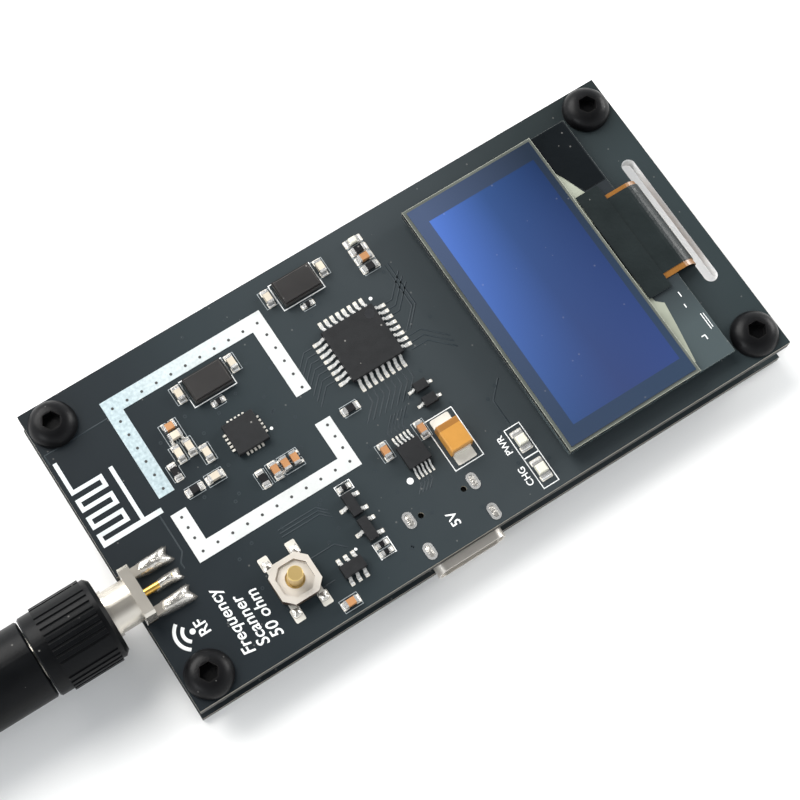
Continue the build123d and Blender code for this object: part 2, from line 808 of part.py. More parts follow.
def build_connector():
    out = along_connector()
    end = neck_length + ring_length + thread_length
    square = chamfer(Rectangle(flange_size, flange_size).vertices(), flange_chamfer)
    flange = Pos(0, 0, -flange_thickness) * extrude(square, amount=flange_thickness)
    barrel = rod(neck_diameter, 0, neck_length)
    barrel += rod(ring_diameter, neck_length, neck_length + ring_length)
    thread = rod(thread_diameter, neck_length + ring_length, end)
    thread = chamfer(thread.edges().filter_by(GeomType.CIRCLE), thread_chamfer)
    body = out * (flange + barrel + thread)
    leg_bottom = board_bottom - leg_height
    for side in (-1, 1):
        for low in (board_top, leg_bottom):
            leg_y = axis_y + side * leg_spread / 2
            tip_x = flange_inner_x + leg_length - leg_width / 2
            leg = span(
                flange_inner_x - leg_overlap, tip_x,
                leg_y - leg_width / 2, leg_y + leg_width / 2, low, low + leg_height,
            )
            tip = Pos(tip_x, leg_y, 0) * rod(leg_width, low, low + leg_height)
            body += leg + tip
    body -= out * rod(insulator_diameter, -flange_thickness, end)
    nodes["connector_body"] = [body]

    insulator = rod(insulator_diameter, -flange_thickness, end - mating_recess)
    insulator -= rod(socket_diameter, 0, end)
    insulator -= rod(pin_diameter, -flange_thickness, 0)
    nodes["connector_insulator"] = [out * insulator]

    pin = rod(pin_diameter, -flange_thickness - pin_length, 0)
    pin += rod(socket_diameter, 0, end - mating_recess)
    pin -= rod(socket_bore, end - mating_recess - socket_depth, end)
    nodes["connector_pin"] = [out * pin]


def along_antenna():
    """Frame at the antenna's mouth: local Z points along the antenna, local X points up."""
    return Plane(origin=(mouth_x, axis_y, axis_height), x_dir=(0, 0, 1), z_dir=(-1, 0, 0)).location


def build_collar():
    """Fluted plastic sleeve on a metal coupling nut, which turn together."""
    out = along_antenna()
    nut_end = nut_start + nut_length
    bore = thread_diameter + 2 * nut_thread_clearance
    lip_bore = plug_diameter + 2 * plug_clearance
    nut = rod(nut_diameter, nut_start, nut_end)
    nut -= rod(bore, nut_start, nut_end - nut_lip)
    nut -= rod(lip_bore, nut_end - nut_lip, nut_end)
    nodes["antenna_nut"] = [out * nut]

    radius = collar_diameter / 2
    band_radius = band_diameter / 2
    band_end = band_start + band_length
    collar = turned([
        (0, 0), (radius - collar_mouth_chamfer, 0), (radius, collar_mouth_chamfer), (radius, band_start),
        (band_radius, band_start), (band_radius, band_end), (radius, band_end),
        (radius, collar_length - collar_rear_chamfer), (radius - collar_rear_chamfer, collar_length),
        (0, collar_length),
    ])
    collar -= rod(mouth_diameter, 0, nut_start)
    collar -= rod(nut_diameter, nut_start, nut_end)
    collar -= rod(lip_bore, nut_end, collar_length)
    flute = Pos(band_radius, 0, 0) * rod(2 * flute_radius, band_start, band_end)
    first = -(flutes_per_group - 1) * flute_pitch_angle / 2
    flutes = [
        Rot(0, 0, group * 360 / flute_group_count + first + index * flute_pitch_angle) * flute
        for group in range(flute_group_count)
        for index in range(flutes_per_group)
    ]
    nodes["antenna_collar"] = [out * (collar - flutes)]


def cheek_blank():
    """Round end of the fork, before its slot is cut."""
    radius = swivel_diameter / 2
    round_end = Pos(0, 0, hinge_place) * Rot(90, 0, 0) * Cylinder(radius, swivel_diameter)
    return rod(swivel_diameter, hinge_place, hinge_place + radius) & round_end


def build_swivel():
    """Plug, insulator and contact pin in the plastic base, with a fork for the hinge."""
    out = along_antenna()
    start = collar_length + swivel_gap
    base = rod(swivel_diameter, start, hinge_place)
    base = chamfer(base.faces().sort_by(Axis.Z)[0].edges(), swivel_chamfer)
    base += cheek_blank()
    slot_width_y = tongue_width + 2 * tongue_side_clearance
    slot_floor = hinge_place - hinge_shoulder - hinge_floor_clearance
    slot = span(
        -swivel_diameter, swivel_diameter, -slot_width_y / 2, slot_width_y / 2,
        slot_floor, hinge_place + swivel_diameter,
    )
    plug_end = start + plug_depth
    pin_hole = Pos(0, 0, hinge_place) * Rot(90, 0, 0) * Cylinder(hinge_pin_diameter / 2, swivel_diameter)
    base = base - slot - rod(plug_diameter, start, plug_end) - pin_hole
    nodes["swivel_base"] = [out * base]

    face = ring_to_plug_face()
    plug = rod(plug_diameter, face, plug_end) - rod(plug_bore, face, plug_end)
    nodes["antenna_plug"] = [out * plug]
    insulator = rod(plug_bore, face, plug_end) - rod(contact_diameter, face, plug_end)
    nodes["plug_insulator"] = [out * insulator]
    contact = rod(contact_diameter, face - contact_reach, plug_end)
    contact = chamfer(contact.faces().sort_by(Axis.Z)[0].edges(), contact_chamfer)
    nodes["antenna_contact"] = [out * contact]
    pin = Pos(0, 0, hinge_place) * Rot(90, 0, 0) * Cylinder(hinge_pin_diameter / 2, hinge_pin_length)
    nodes["hinge_pin"] = [out * pin]


def ring_to_plug_face():
    """Distance from the mouth to the plug's face, just off the end of the connector."""
    return thread_length + nut_thread_clearance


def build_mast():
    """Folding mast with the radiator held in its bore."""
    out = along_antenna()
    root = hinge_place + hinge_shoulder
    tip_radius = mast_tip_diameter / 2
    radius = swivel_diameter / 2
    shoulder_radius = tip_radius - mast_tip_round * mast_tip_shoulder_in
    shoulder_place = antenna_length - mast_tip_round * mast_tip_shoulder_down
    mast = turned([
        (0, root), (radius, root), (radius, root + mast_straight),
        (tip_radius, antenna_length - mast_tip_round), (shoulder_radius, shoulder_place),
        (tip_radius - mast_tip_round, antenna_length), (0, antenna_length),
    ])
    knuckle = Pos(0, 0, hinge_place) * Rot(90, 0, 0) * Cylinder(tongue_diameter / 2, tongue_width)
    web = span(
        -tongue_diameter / 2, tongue_diameter / 2, -tongue_width / 2, tongue_width / 2, hinge_place, root,
    )
    tongue = (knuckle + web) & rod(swivel_diameter, hinge_place - tongue_diameter, root)
    hole_radius = hinge_pin_diameter / 2 + hinge_pin_clearance
    hole = Pos(0, 0, hinge_place) * Rot(90, 0, 0) * Cylinder(hole_radius, swivel_diameter)
    bore_start = root + mast_root_wall
    bore_end = antenna_length - mast_tip_wall
    mast = mast + tongue - hole - rod(mast_bore, bore_start, bore_end)
    nodes["antenna_mast"] = [out * mast]

    sleeve_end = bore_start + sleeve_length
    sleeve = rod(mast_bore, bore_start, sleeve_end) - rod(mast_bore - 2 * sleeve_wall, bore_start, sleeve_end)
    cap = rod(mast_bore, sleeve_end, sleeve_end + sleeve_wall)
    whip = rod(whip_diameter, sleeve_end, sleeve_end + whip_length)
    nodes["antenna_radiator"] = [out * (sleeve + cap + whip)]


# ================================================================ data socket
def shell_leg_centres():
    reach = shell_width / 2 - shell_wall / 2
    near = shell_front_y + shell_leg_setback
    return [
        (socket_x + side * reach, near + row * shell_leg_spacing)
        for side in (-1, 1)
        for row in (0, 1)
    ]


def peg_centres():
    peg_y = shell_back_y - socket_block_length / 2
    return [(socket_x + side * peg_spacing / 2, peg_y) for side in (-1, 1)]


def socket_section(width, height, corner, front, back):
    """Rounded block that runs along Y between front and back, hung under the main board."""
    middle = board_bottom - shell_height / 2
    outline = Plane.XZ * RectangleRounded(width, height, corner)
    block = extrude(outline, amount=back - front)
    block = Pos(0, -block.bounding_box().min.Y, 0) * block
    return Pos(socket_x, front, middle) * block


def build_socket():
    inner_width = shell_width - 2 * shell_wall
    inner_height = shell_height - 2 * shell_wall
    inner_corner = shell_corner - shell_wall
    shell = socket_section(shell_width, shell_height, shell_corner, shell_front_y, shell_back_y)
    shell -= socket_section(inner_width, inner_height, inner_corner, shell_front_y, shell_back_y)
    for x, y in shell_leg_centres():
        shell += span(
            x - shell_wall / 2, x + shell_wall / 2, y - shell_leg_width / 2, y + shell_leg_width / 2,
            board_bottom - shell_height / 2, board_top - shell_leg_sunk,
        )
    pegs = [Pos(x, y, 0) * rod(peg_diameter, board_bottom - shell_height / 2, board_bottom + peg_length)
            for x, y in peg_centres()]
    for peg in pegs:
        shell -= peg
    nodes["socket_shell"] = [shell]

    block_front = shell_back_y - socket_block_length
    tongue = socket_section(inner_width, inner_height, inner_corner, block_front, shell_back_y)
    middle = board_bottom - shell_height / 2
    tongue += span(
        socket_x - tongue_plate_width / 2, socket_x + tongue_plate_width / 2,
        block_front - tongue_plate_length, block_front,
        middle - tongue_plate_height / 2, middle + tongue_plate_height / 2,
    )
    for peg in pegs:
        tongue += peg
    nodes["socket_tongue"] = [tongue]

    first = -(contact_strip_count - 1) * contact_strip_pitch / 2
    contacts = []
    for index in range(contact_strip_count):
        x = socket_x + first + index * contact_strip_pitch
        x_low = x - contact_strip_width / 2
        x_high = x + contact_strip_width / 2
        for low in (middle + tongue_plate_height / 2, middle - tongue_plate_height / 2 - contact_strip_gauge):
            contacts.append(span(
                x_low, x_high, block_front - contact_strip_length, block_front,
                low, low + contact_strip_gauge,
            ))
        contacts.append(span(
            x_low, x_high, shell_back_y, shell_back_y + contact_tail_length,
            board_bottom - contact_strip_gauge, board_bottom,
        ))
    nodes["socket_contacts"] = contacts


# ================================================================ build and write
def build_all():
    build_main_board()
    build_back_board()
    build_spacers()
    build_screws()
    build_shield_strips()
    build_antenna_trace()
    build_display()
    build_flex()
    build_processor()
    build_bridge()
    build_radio()
    build_crystals()
    build_chip_parts()
    build_leds()
    build_tantalum()
    build_small_outlines()
    build_switch()
    build_connector()
    build_collar()
    build_swivel()
    build_mast()
    build_socket()


os.makedirs("parts", exist_ok=True)
build_all()
for name, shapes in nodes.items():
    solids = [solid for shape in shapes for solid in shape.solids()]
    piece = solids[0] if len(solids) == 1 else Compound(solids)
    export_step(piece, f"parts/{name}.step")
    print(name, len(solids), round(sum(solid.volume for solid in solids), 3))
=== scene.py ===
# %% [markdown]
# # A pocket spectrum analyzer
# The object is two thin circuit boards stacked on four spacers, with a display, a push switch and
# a coaxial connector that carries a folding antenna. The CAD frame holds every part that has a
# job, so this script gives those their finishes and adds what is printed, plated and soldered.

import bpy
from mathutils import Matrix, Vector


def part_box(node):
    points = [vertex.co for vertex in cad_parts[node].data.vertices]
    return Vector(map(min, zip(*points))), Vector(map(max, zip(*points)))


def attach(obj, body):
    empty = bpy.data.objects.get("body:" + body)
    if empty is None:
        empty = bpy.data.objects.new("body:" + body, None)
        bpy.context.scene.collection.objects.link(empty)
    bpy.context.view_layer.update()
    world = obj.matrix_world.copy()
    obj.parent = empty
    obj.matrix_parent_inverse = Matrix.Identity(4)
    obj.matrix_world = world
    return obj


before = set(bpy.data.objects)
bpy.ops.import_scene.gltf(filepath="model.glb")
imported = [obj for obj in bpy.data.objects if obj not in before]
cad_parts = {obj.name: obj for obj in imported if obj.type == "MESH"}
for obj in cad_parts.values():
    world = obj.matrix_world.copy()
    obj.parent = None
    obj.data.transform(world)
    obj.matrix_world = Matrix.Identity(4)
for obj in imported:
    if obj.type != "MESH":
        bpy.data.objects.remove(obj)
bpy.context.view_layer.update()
print("frame", len(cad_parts), "nodes")

# %% Modules for the pieces
import math
import random

import bmesh
import bpy
from mathutils import Euler, Matrix, Vector

print("pieces are made with Blender", bpy.app.version_string)

# %% [markdown]
# ## Places on the board
# A board designer measures from one corner, so places here are millimetres from the board's left
# and top edges. Taking the edges from the frame keeps every print and fillet on its board.

# %% Measuring from the board's corner
MM = 0.001
board_low, board_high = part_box("main_board")
BOARD_LENGTH = (board_high.x - board_low.x) / MM
BOARD_WIDTH = (board_high.y - board_low.y) / MM


def on_board(left, top, height=0.0):
    """Point at that distance from the left and top edges and above the face, in metres."""
    return Vector((board_low.x + left * MM, board_high.y - top * MM, board_high.z + height * MM))


def place_of(point):
    """Distances of a point in metres from the left and top edges, in millimetres."""
    return (point.x - board_low.x) / MM, (board_high.y - point.y) / MM


def from_frame(node):
    """Left, top, right and bottom of a CAD node in board millimetres."""
    low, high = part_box(node)
    left, bottom = place_of(low)
    right, top = place_of(high)
    return left, top, right, bottom


def add_object(name, data):
    """Object that holds the data, in the scene."""
    piece = bpy.data.objects.new(name, data)
    bpy.context.scene.collection.objects.link(piece)
    return piece


print("board", round(BOARD_LENGTH, 2), "x", round(BOARD_WIDTH, 2), "mm")

# %% [markdown]
# ## Camera
# The instrument is seen from above and a little to one side, as when it lies on a table in front of
# a reader. The view comes before the pieces, because it decides which details are worth making.

# %% Camera
camera_data = bpy.data.cameras.new("camera")
camera = add_object("camera", camera_data)
camera.location = Vector((-47.5, -52.2, 204.8)) * MM
camera.rotation_euler = Euler([math.radians(angle) for angle in (16.64, -0.04, -32.43)])
camera_data.lens = 82.4
camera_data.shift_x = 0.1225
camera_data.shift_y = 0.08
camera_data.clip_start = 0.01
bpy.context.scene.camera = camera
print("camera", round(camera_data.lens, 1), "mm lens")

# %% [markdown]
# ## Table and light
# A white table and one large soft lamp beyond the top edge give the short soft shadow under the
# near edge. A weak lamp keeps the metal from going black on its far side, and a low one past the
# right end lights the upright walls there.

# %% Table and lamps
def flat_material(name, colour, roughness):
    material = bpy.data.materials.new(name)
    material.use_nodes = True
    shader = material.node_tree.nodes["Principled BSDF"]
    shader.inputs["Base Color"].default_value = (*colour, 1.0)
    shader.inputs["Roughness"].default_value = roughness
    return material


FLOOR_HALF = 1.5
floor_mesh = bpy.data.meshes.new("table")
floor_mesh.from_pydata(
    [(-FLOOR_HALF, -FLOOR_HALF, 0), (FLOOR_HALF, -FLOOR_HALF, 0),
     (FLOOR_HALF, FLOOR_HALF, 0), (-FLOOR_HALF, FLOOR_HALF, 0)], [], [(0, 1, 2, 3)])
floor_mesh.materials.append(flat_material("white_table", (0.90, 0.90, 0.89), 0.7))
table = add_object("table", floor_mesh)


def softbox(name, place, target, width, power, colour=(1, 1, 1)):
    """Square area lamp at a place in metres, facing a target."""
    data = bpy.data.lights.new(name, "AREA")
    data.shape = "SQUARE"
    data.size = width
    data.energy = power
    data.color = colour
    lamp = add_object(name, data)
    lamp.location = place
    lamp.rotation_euler = (Vector(target) - Vector(place)).to_track_quat("-Z", "Y").to_euler()
    return lamp


softbox("key_lamp", (-0.22, 0.60, 0.55), (0, 0, 0), 0.62, 10.5, (1.0, 0.985, 0.965))
softbox("side_lamp", (-0.70, -0.15, 0.40), (0, 0, 0), 0.30, 1.6, (0.95, 0.98, 1.0))
softbox("end_lamp", (0.60, 0.02, 0.22), (0.04, 0, 0), 0.30, 3.0, (1.0, 0.99, 0.97))


def axes_of(tree, vector):
    """Outputs X, Y and Z of a vector."""
    axes = tree.nodes.new("ShaderNodeSeparateXYZ")
    tree.links.new(vector, axes.inputs[0])
    return axes.outputs


HORIZON_UP_TO = 0.45
CEILING_FROM = 0.9


def studio_world(horizon, overhead):
    """Bright walls that fade to a dim ceiling, so that what faces up stays deep in tone."""
    studio = bpy.data.worlds.new("studio")
    studio.use_nodes = True
    tree = studio.node_tree
    axes = axes_of(tree, tree.nodes.new("ShaderNodeTexCoord").outputs["Generated"])
    fade = tree.nodes.new("ShaderNodeMapRange")
    fade.inputs["From Min"].default_value = HORIZON_UP_TO
    fade.inputs["From Max"].default_value = CEILING_FROM
    fade.inputs["To Min"].default_value = horizon
    fade.inputs["To Max"].default_value = overhead
    sky = tree.nodes["Background"]
    sky.inputs["Color"].default_value = (0.93, 0.96, 1.0, 1.0)
    tree.links.new(axes["Z"], fade.inputs["Value"])
    tree.links.new(fade.outputs["Result"], sky.inputs["Strength"])
    return studio


bpy.context.scene.world = studio_world(1.28, 0.12)
bpy.context.scene.view_settings.view_transform = "Standard"

# %% [markdown]
# ## Shared effects
# Real parts are never one flat colour: moulding leaves a fine grain, handling rubs the edges bright
# and dust settles on what faces up. Each effect is one shader group, so that it's tuned in one
# place and each finish only says how much of it there is.

# %% Shader groups
def shader_group(name, dial, outputs):
    """Empty shader group with one number to set and numbers to give."""
    tree = bpy.data.node_groups.new(name, "ShaderNodeTree")
    tree.interface.new_socket(dial, in_out="INPUT", socket_type="NodeSocketFloat")
    for label in outputs:
        tree.interface.new_socket(label, in_out="OUTPUT", socket_type="NodeSocketFloat")
    return tree, tree.nodes.new("NodeGroupInput"), tree.nodes.new("NodeGroupOutput")


def add_math(tree, operation, first, second=None, third=None, clamp=False):
    """Math node whose inputs are sockets or numbers, and its output."""
    node = tree.nodes.new("ShaderNodeMath")
    node.operation = operation
    node.use_clamp = clamp
    for slot, value in enumerate((first, second, third)):
        if value is None:
            continue
        if isinstance(value, (int, float)):
            node.inputs[slot].default_value = value
        else:
            tree.links.new(value, node.inputs[slot])
    return node.outputs[0]


def add_noise(tree, scale, detail):
    """Noise over the object's own coordinates, and its output."""
    place = tree.nodes.new("ShaderNodeTexCoord")
    noise = tree.nodes.new("ShaderNodeTexNoise")
    noise.inputs["Detail"].default_value = detail
    tree.links.new(place.outputs["Object"], noise.inputs["Vector"])
    if isinstance(scale, float):
        noise.inputs["Scale"].default_value = scale
    else:
        tree.links.new(scale, noise.inputs["Scale"])
    return noise.outputs["Fac"]


def normal_axes(tree):
    """The way the surface faces."""
    return axes_of(tree, tree.nodes.new("ShaderNodeNewGeometry").outputs["Normal"])


CLOUD_SCALE = 0.12
RUB_SCALE = 2600.0
RUB_GAIN = 12.0
SPECK_RADIUS = 0.10
SPECK_PICK = 0.72


def make_grain_group():
    """Two sizes of noise: a cloudy shade and a fine height."""
    tree, entry, leave = shader_group("surface_grain", "Per Metre", ["Shade", "Height"])
    for label, times, detail in (("Shade", CLOUD_SCALE, 3.0), ("Height", 1.0, 4.0)):
        scale = add_math(tree, "MULTIPLY", entry.outputs["Per Metre"], times)
        tree.links.new(add_noise(tree, scale, detail), leave.inputs[label])
    return tree


def make_wear_group():
    """Mask of the rubbed edges, broken up by noise."""
    tree, entry, leave = shader_group("edge_wear", "Width", ["Mask"])
    bevel = tree.nodes.new("ShaderNodeBevel")
    bevel.samples = 4
    tree.links.new(entry.outputs["Width"], bevel.inputs["Radius"])
    geometry = tree.nodes.new("ShaderNodeNewGeometry")
    turn = tree.nodes.new("ShaderNodeVectorMath")
    turn.operation = "DOT_PRODUCT"
    tree.links.new(bevel.outputs["Normal"], turn.inputs[0])
    tree.links.new(geometry.outputs["Normal"], turn.inputs[1])
    bend = add_math(tree, "SUBTRACT", 1.0, turn.outputs["Value"])
    rubs = add_math(tree, "MULTIPLY", add_noise(tree, RUB_SCALE, 3.0), RUB_GAIN)
    broken = add_math(tree, "MULTIPLY", bend, rubs)
    tree.links.new(add_math(tree, "MINIMUM", broken, 1.0), leave.inputs["Mask"])
    return tree


def make_dust_group():
    """Mask of small specks on what faces up."""
    tree, entry, leave = shader_group("settled_dust", "Per Metre", ["Mask"])
    place = tree.nodes.new("ShaderNodeTexCoord")
    specks = tree.nodes.new("ShaderNodeTexVoronoi")
    tree.links.new(place.outputs["Object"], specks.inputs["Vector"])
    tree.links.new(entry.outputs["Per Metre"], specks.inputs["Scale"])
    small = add_math(tree, "LESS_THAN", specks.outputs["Distance"], SPECK_RADIUS)
    pick = tree.nodes.new("ShaderNodeSeparateColor")
    tree.links.new(specks.outputs["Color"], pick.inputs[0])
    few = add_math(tree, "GREATER_THAN", pick.outputs[0], SPECK_PICK)
    upward = add_math(tree, "MULTIPLY", normal_axes(tree)["Z"], 1.0, clamp=True)
    both = add_math(tree, "MULTIPLY", small, few)
    tree.links.new(add_math(tree, "MULTIPLY", both, upward), leave.inputs["Mask"])
    return tree


grain_group = make_grain_group()
wear_group = make_wear_group()
dust_group = make_dust_group()
print("shared effects", [tree.name for tree in bpy.data.node_groups])

# %% [markdown]
# ## A finish
# Every finish is one shader fed by the same three effects. The colour is shifted by the cloudy
# shade, lightened where edges rub and speckled with dust. The fine height becomes a bump.

# %% Building one finish
def add_mix(tree, factor, first, second):
    """Colour mix whose inputs are sockets, numbers or colours, and its output."""
    node = tree.nodes.new("ShaderNodeMix")
    node.data_type = "RGBA"
    for index, value in ((0, factor), (6, first), (7, second)):
        socket = node.inputs[index]
        if isinstance(value, tuple):
            socket.default_value = (*value, 1.0)
        elif isinstance(value, (int, float)):
            socket.default_value = value
        else:
            tree.links.new(value, socket)
    return node.outputs[2]


def add_ramp(tree, factor, stops):
    """Colour ramp through (place, colour) stops, and its output."""
    node = tree.nodes.new("ShaderNodeValToRGB")
    while len(node.color_ramp.elements) < len(stops):
        node.color_ramp.elements.new(0.5)
    for element, (place, colour) in zip(node.color_ramp.elements, stops):
        element.position = place
        element.color = (*colour, 1.0)
    tree.links.new(factor, node.inputs[0])
    return node.outputs[0]


def add_group(tree, group, value):
    """Group node with its one input set."""
    node = tree.nodes.new("ShaderNodeGroup")
    node.node_tree = group
    node.inputs[0].default_value = value
    return node


def scaled(colour, factor):
    return tuple(min(1.0, channel * factor) for channel in colour)


WORN_TIMES = 1.9
DUST_COLOUR = (0.62, 0.6, 0.56)
DUST_SCALE = 900.0
ROUGH_SPREAD = 0.16
BUMP_STRENGTH = 0.6
COAT_ROUGHNESS = 0.12


def finish(name, colour, rough, metal=0.0, mottle=0.15, grain=4000.0, bump=0.01, wear=0.25,
           worn=None, edge=0.08, dust=0.25, coat=0.0, shine=0.5, paint=None):
    """Material from the shared effects. paint(tree, colour) may repaint the colour."""
    material = bpy.data.materials.new(name)
    material.use_nodes = True
    tree = material.node_tree
    shader = tree.nodes["Principled BSDF"]
    for label, value in (("Coat Weight", coat), ("Coat Roughness", COAT_ROUGHNESS),
                         ("Specular IOR Level", shine), ("Metallic", metal)):
        shader.inputs[label].default_value = value
    effects = add_group(tree, grain_group, grain)
    shade = effects.outputs["Shade"]
    skin = add_mix(tree, shade, scaled(colour, 1 - mottle), scaled(colour, 1 + mottle))
    if paint:
        skin = paint(tree, skin)
    rubbed = add_group(tree, wear_group, edge * MM).outputs["Mask"]
    worn = worn or scaled(colour, WORN_TIMES)
    skin = add_mix(tree, add_math(tree, "MULTIPLY", rubbed, wear), skin, worn)
    specks = add_group(tree, dust_group, DUST_SCALE).outputs["Mask"]
    skin = add_mix(tree, add_math(tree, "MULTIPLY", specks, dust), skin, DUST_COLOUR)
    tree.links.new(skin, shader.inputs["Base Color"])
    low = rough - ROUGH_SPREAD / 2
    spread = add_math(tree, "MULTIPLY_ADD", shade, ROUGH_SPREAD, low, clamp=True)
    tree.links.new(spread, shader.inputs["Roughness"])
    relief = tree.nodes.new("ShaderNodeBump")
    relief.inputs["Strength"].default_value = BUMP_STRENGTH
    relief.inputs["Distance"].default_value = bump * MM
    tree.links.new(effects.outputs["Height"], relief.inputs["Height"])
    tree.links.new(relief.outputs["Normal"], shader.inputs["Normal"])
    return material


def dress(material, *nodes):
    """Give CAD nodes their material."""
    for node in nodes:
        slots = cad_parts[node].data.materials
        slots.clear()
        slots.append(material)


print("each finish uses", [group.name for group in (grain_group, wear_group, dust_group)])

# %% [markdown]
# ## Boards
# The face is a matte charcoal solder mask, and its tone is painted light: painted sheen makes it
# nearly black at the antenna's end and grey past the middle, and a painted darker corner lies by
# the display's top. The cut sides show the raw laminate: a thin pale line of cut glass cloth under
# the mask, and the core below, painted nearly black as painted shade. The walls of the slot beside
# the display are painted pale all the way down, painted light that makes the slot read brightly
# lit.

# %% Board finish
SLOT_LEFT = 35.9 * MM
SLOT_RIGHT = 38.4 * MM
SLOT_HALF_LENGTH = 9.3 * MM
HALF_BOARD = 40.0 * MM
ALONG_FADE = (1 / (2 * HALF_BOARD), 0.5)
DISPLAY_FADE = (60.0, -1.0)
TOP_FADE = (120.0, -1.2)
UPRIGHT = 0.5
CLOTH_SHARE = 0.2
GRAIN_SHARE = 0.25
# Painted shade: the laminate below the pale line on the cut sides is painted nearly black.
PAINTED_SHADE_CORE, CUT_CLOTH, PAINTED_LIGHT_SLOT_WALL = (0.030, 0.029, 0.026), (0.34, 0.31, 0.25), (0.80, 0.80, 0.79)
# Painted light: the colour of the darker corner painted by the display's top.
PAINTED_DARK_CORNER = (0.0120, 0.0175, 0.0180)
MASK = (0.0205, 0.0275, 0.0305)
# Painted sheen: the mask's tone along the board, nearly black at the antenna's end and grey past
# the middle.
MASK_AND_SHEEN_ALONG = (
    (0.0, (0.0040, 0.0065, 0.0095)), (0.15, (0.0085, 0.0130, 0.0165)),
    (0.27, (0.018, 0.0265, 0.0305)), (0.40, (0.028, 0.0365, 0.0405)),
    (0.55, (0.035, 0.0430, 0.0470)), (0.75, (0.031, 0.0395, 0.0435)),
    (1.0, (0.021, 0.0315, 0.0340)))


def object_axes(tree):
    """The place on the object, in metres along its own axes."""
    return axes_of(tree, tree.nodes.new("ShaderNodeTexCoord").outputs["Object"])


def add_within(tree, value, half):
    """1 where a value lies less than that far from nought, else 0."""
    return add_math(tree, "LESS_THAN", add_math(tree, "ABSOLUTE", value), half)


def add_fade(tree, length, fade):
    """Share from 0 to 1 along a length in metres. A fade is a slope per metre and an offset."""
    return add_math(tree, "MULTIPLY_ADD", length, *fade, clamp=True)


def board_sides(node):
    """Paint for a board: the mask above, cut laminate on the sides."""
    low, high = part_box(node)

    def paint(tree, skin):
        place = object_axes(tree)
        depth = add_math(tree, "SUBTRACT", high.z, place["Z"])
        rim = add_math(tree, "LESS_THAN", depth, (high.z - low.z) * CLOTH_SHARE)
        # Cut sides: a pale line under the mask, and below it the core in painted shade.
        side = add_mix(tree, rim, PAINTED_SHADE_CORE, CUT_CLOTH)
        face = add_ramp(tree, add_fade(tree, place["X"], ALONG_FADE), MASK_AND_SHEEN_ALONG)
        # Painted light: the corner by the display's top is painted darker.
        near_display = add_fade(tree, place["X"], DISPLAY_FADE)
        corner = add_math(tree, "MULTIPLY", near_display, add_fade(tree, place["Y"], TOP_FADE))
        face = add_mix(tree, corner, face, PAINTED_DARK_CORNER)
        face = add_mix(tree, GRAIN_SHARE, face, skin)
        # Painted light: the slot's walls are painted near white, so that the slot reads brightly
        # lit.
        past_slot = add_math(tree, "GREATER_THAN", place["X"], SLOT_LEFT)
        before_edge = add_math(tree, "LESS_THAN", place["X"], SLOT_RIGHT)
        in_slot = add_math(tree, "MULTIPLY", past_slot, before_edge)
        mid_length = add_within(tree, place["Y"], SLOT_HALF_LENGTH)
        in_slot = add_math(tree, "MULTIPLY", in_slot, mid_length)
        side = add_mix(tree, in_slot, side, PAINTED_LIGHT_SLOT_WALL)
        return add_mix(tree, add_within(tree, normal_axes(tree)["Z"], UPRIGHT), face, side)
    return paint


for node, name, rough, dust, shine in (
        ("main_board", "board_mask", 0.50, 0.10, 0.16),
        ("back_board", "back_mask", 0.45, 0.14, 0.35)):
    dress(finish(name, MASK, rough, mottle=0.10, grain=2500.0, bump=0.004, wear=0.0, dust=dust,
                 shine=shine, paint=board_sides(node)), node)
print("mask ramp", len(MASK_AND_SHEEN_ALONG), "stops")

# %% [markdown]
# ## Metals
# Screws are black oxide, the coaxial parts bright nickel, and everything soldered carries tin. Tin
# freezes in soft crystals, so its shade and height are coarser than the grain of plated brass.

# %% Metal finishes
# Painted reflection: the constants below paint the tin strips' brightness along the board into
# their colour.
TIN_REFLECTION_FADE = (42.0, 1.25)
LOWER_STRIP_TOP = 2.0 * MM
LOWER_SHARE = 0.8
SPOT_SCALE = 2600.0
DIM_SPOTTED_TIN, PALE_SPOTTED_TIN = (0.20, 0.28, 0.31), (0.62, 0.72, 0.74)
# Painted shade and reflection: the brown painted on the switch cover's upright walls.
PAINTED_SHADE_BROWN = (0.10, 0.065, 0.045)


def tin_reflection_paint(tree, skin):
    """Painted reflection: tin painted white towards the display and on the lower strip, and darker,
    bluer and spotted towards the antenna.
    """
    place = object_axes(tree)
    lower_strip = add_math(tree, "LESS_THAN", place["Y"], LOWER_STRIP_TOP)
    lower = add_math(tree, "MULTIPLY", lower_strip, LOWER_SHARE)
    share = add_math(tree, "MAXIMUM", add_fade(tree, place["X"], TIN_REFLECTION_FADE), lower)
    spotted = add_mix(tree, add_noise(tree, SPOT_SCALE, 2.0), DIM_SPOTTED_TIN, PALE_SPOTTED_TIN)
    return add_mix(tree, share, spotted, skin)


def shaded_walls(tree, skin):
    """Painted shade and reflection: the upright walls are painted brown, for the shade they lie in
    and the board and flux they mirror.
    """
    return add_mix(tree, add_within(tree, normal_axes(tree)["Z"], UPRIGHT), skin, PAINTED_SHADE_BROWN)


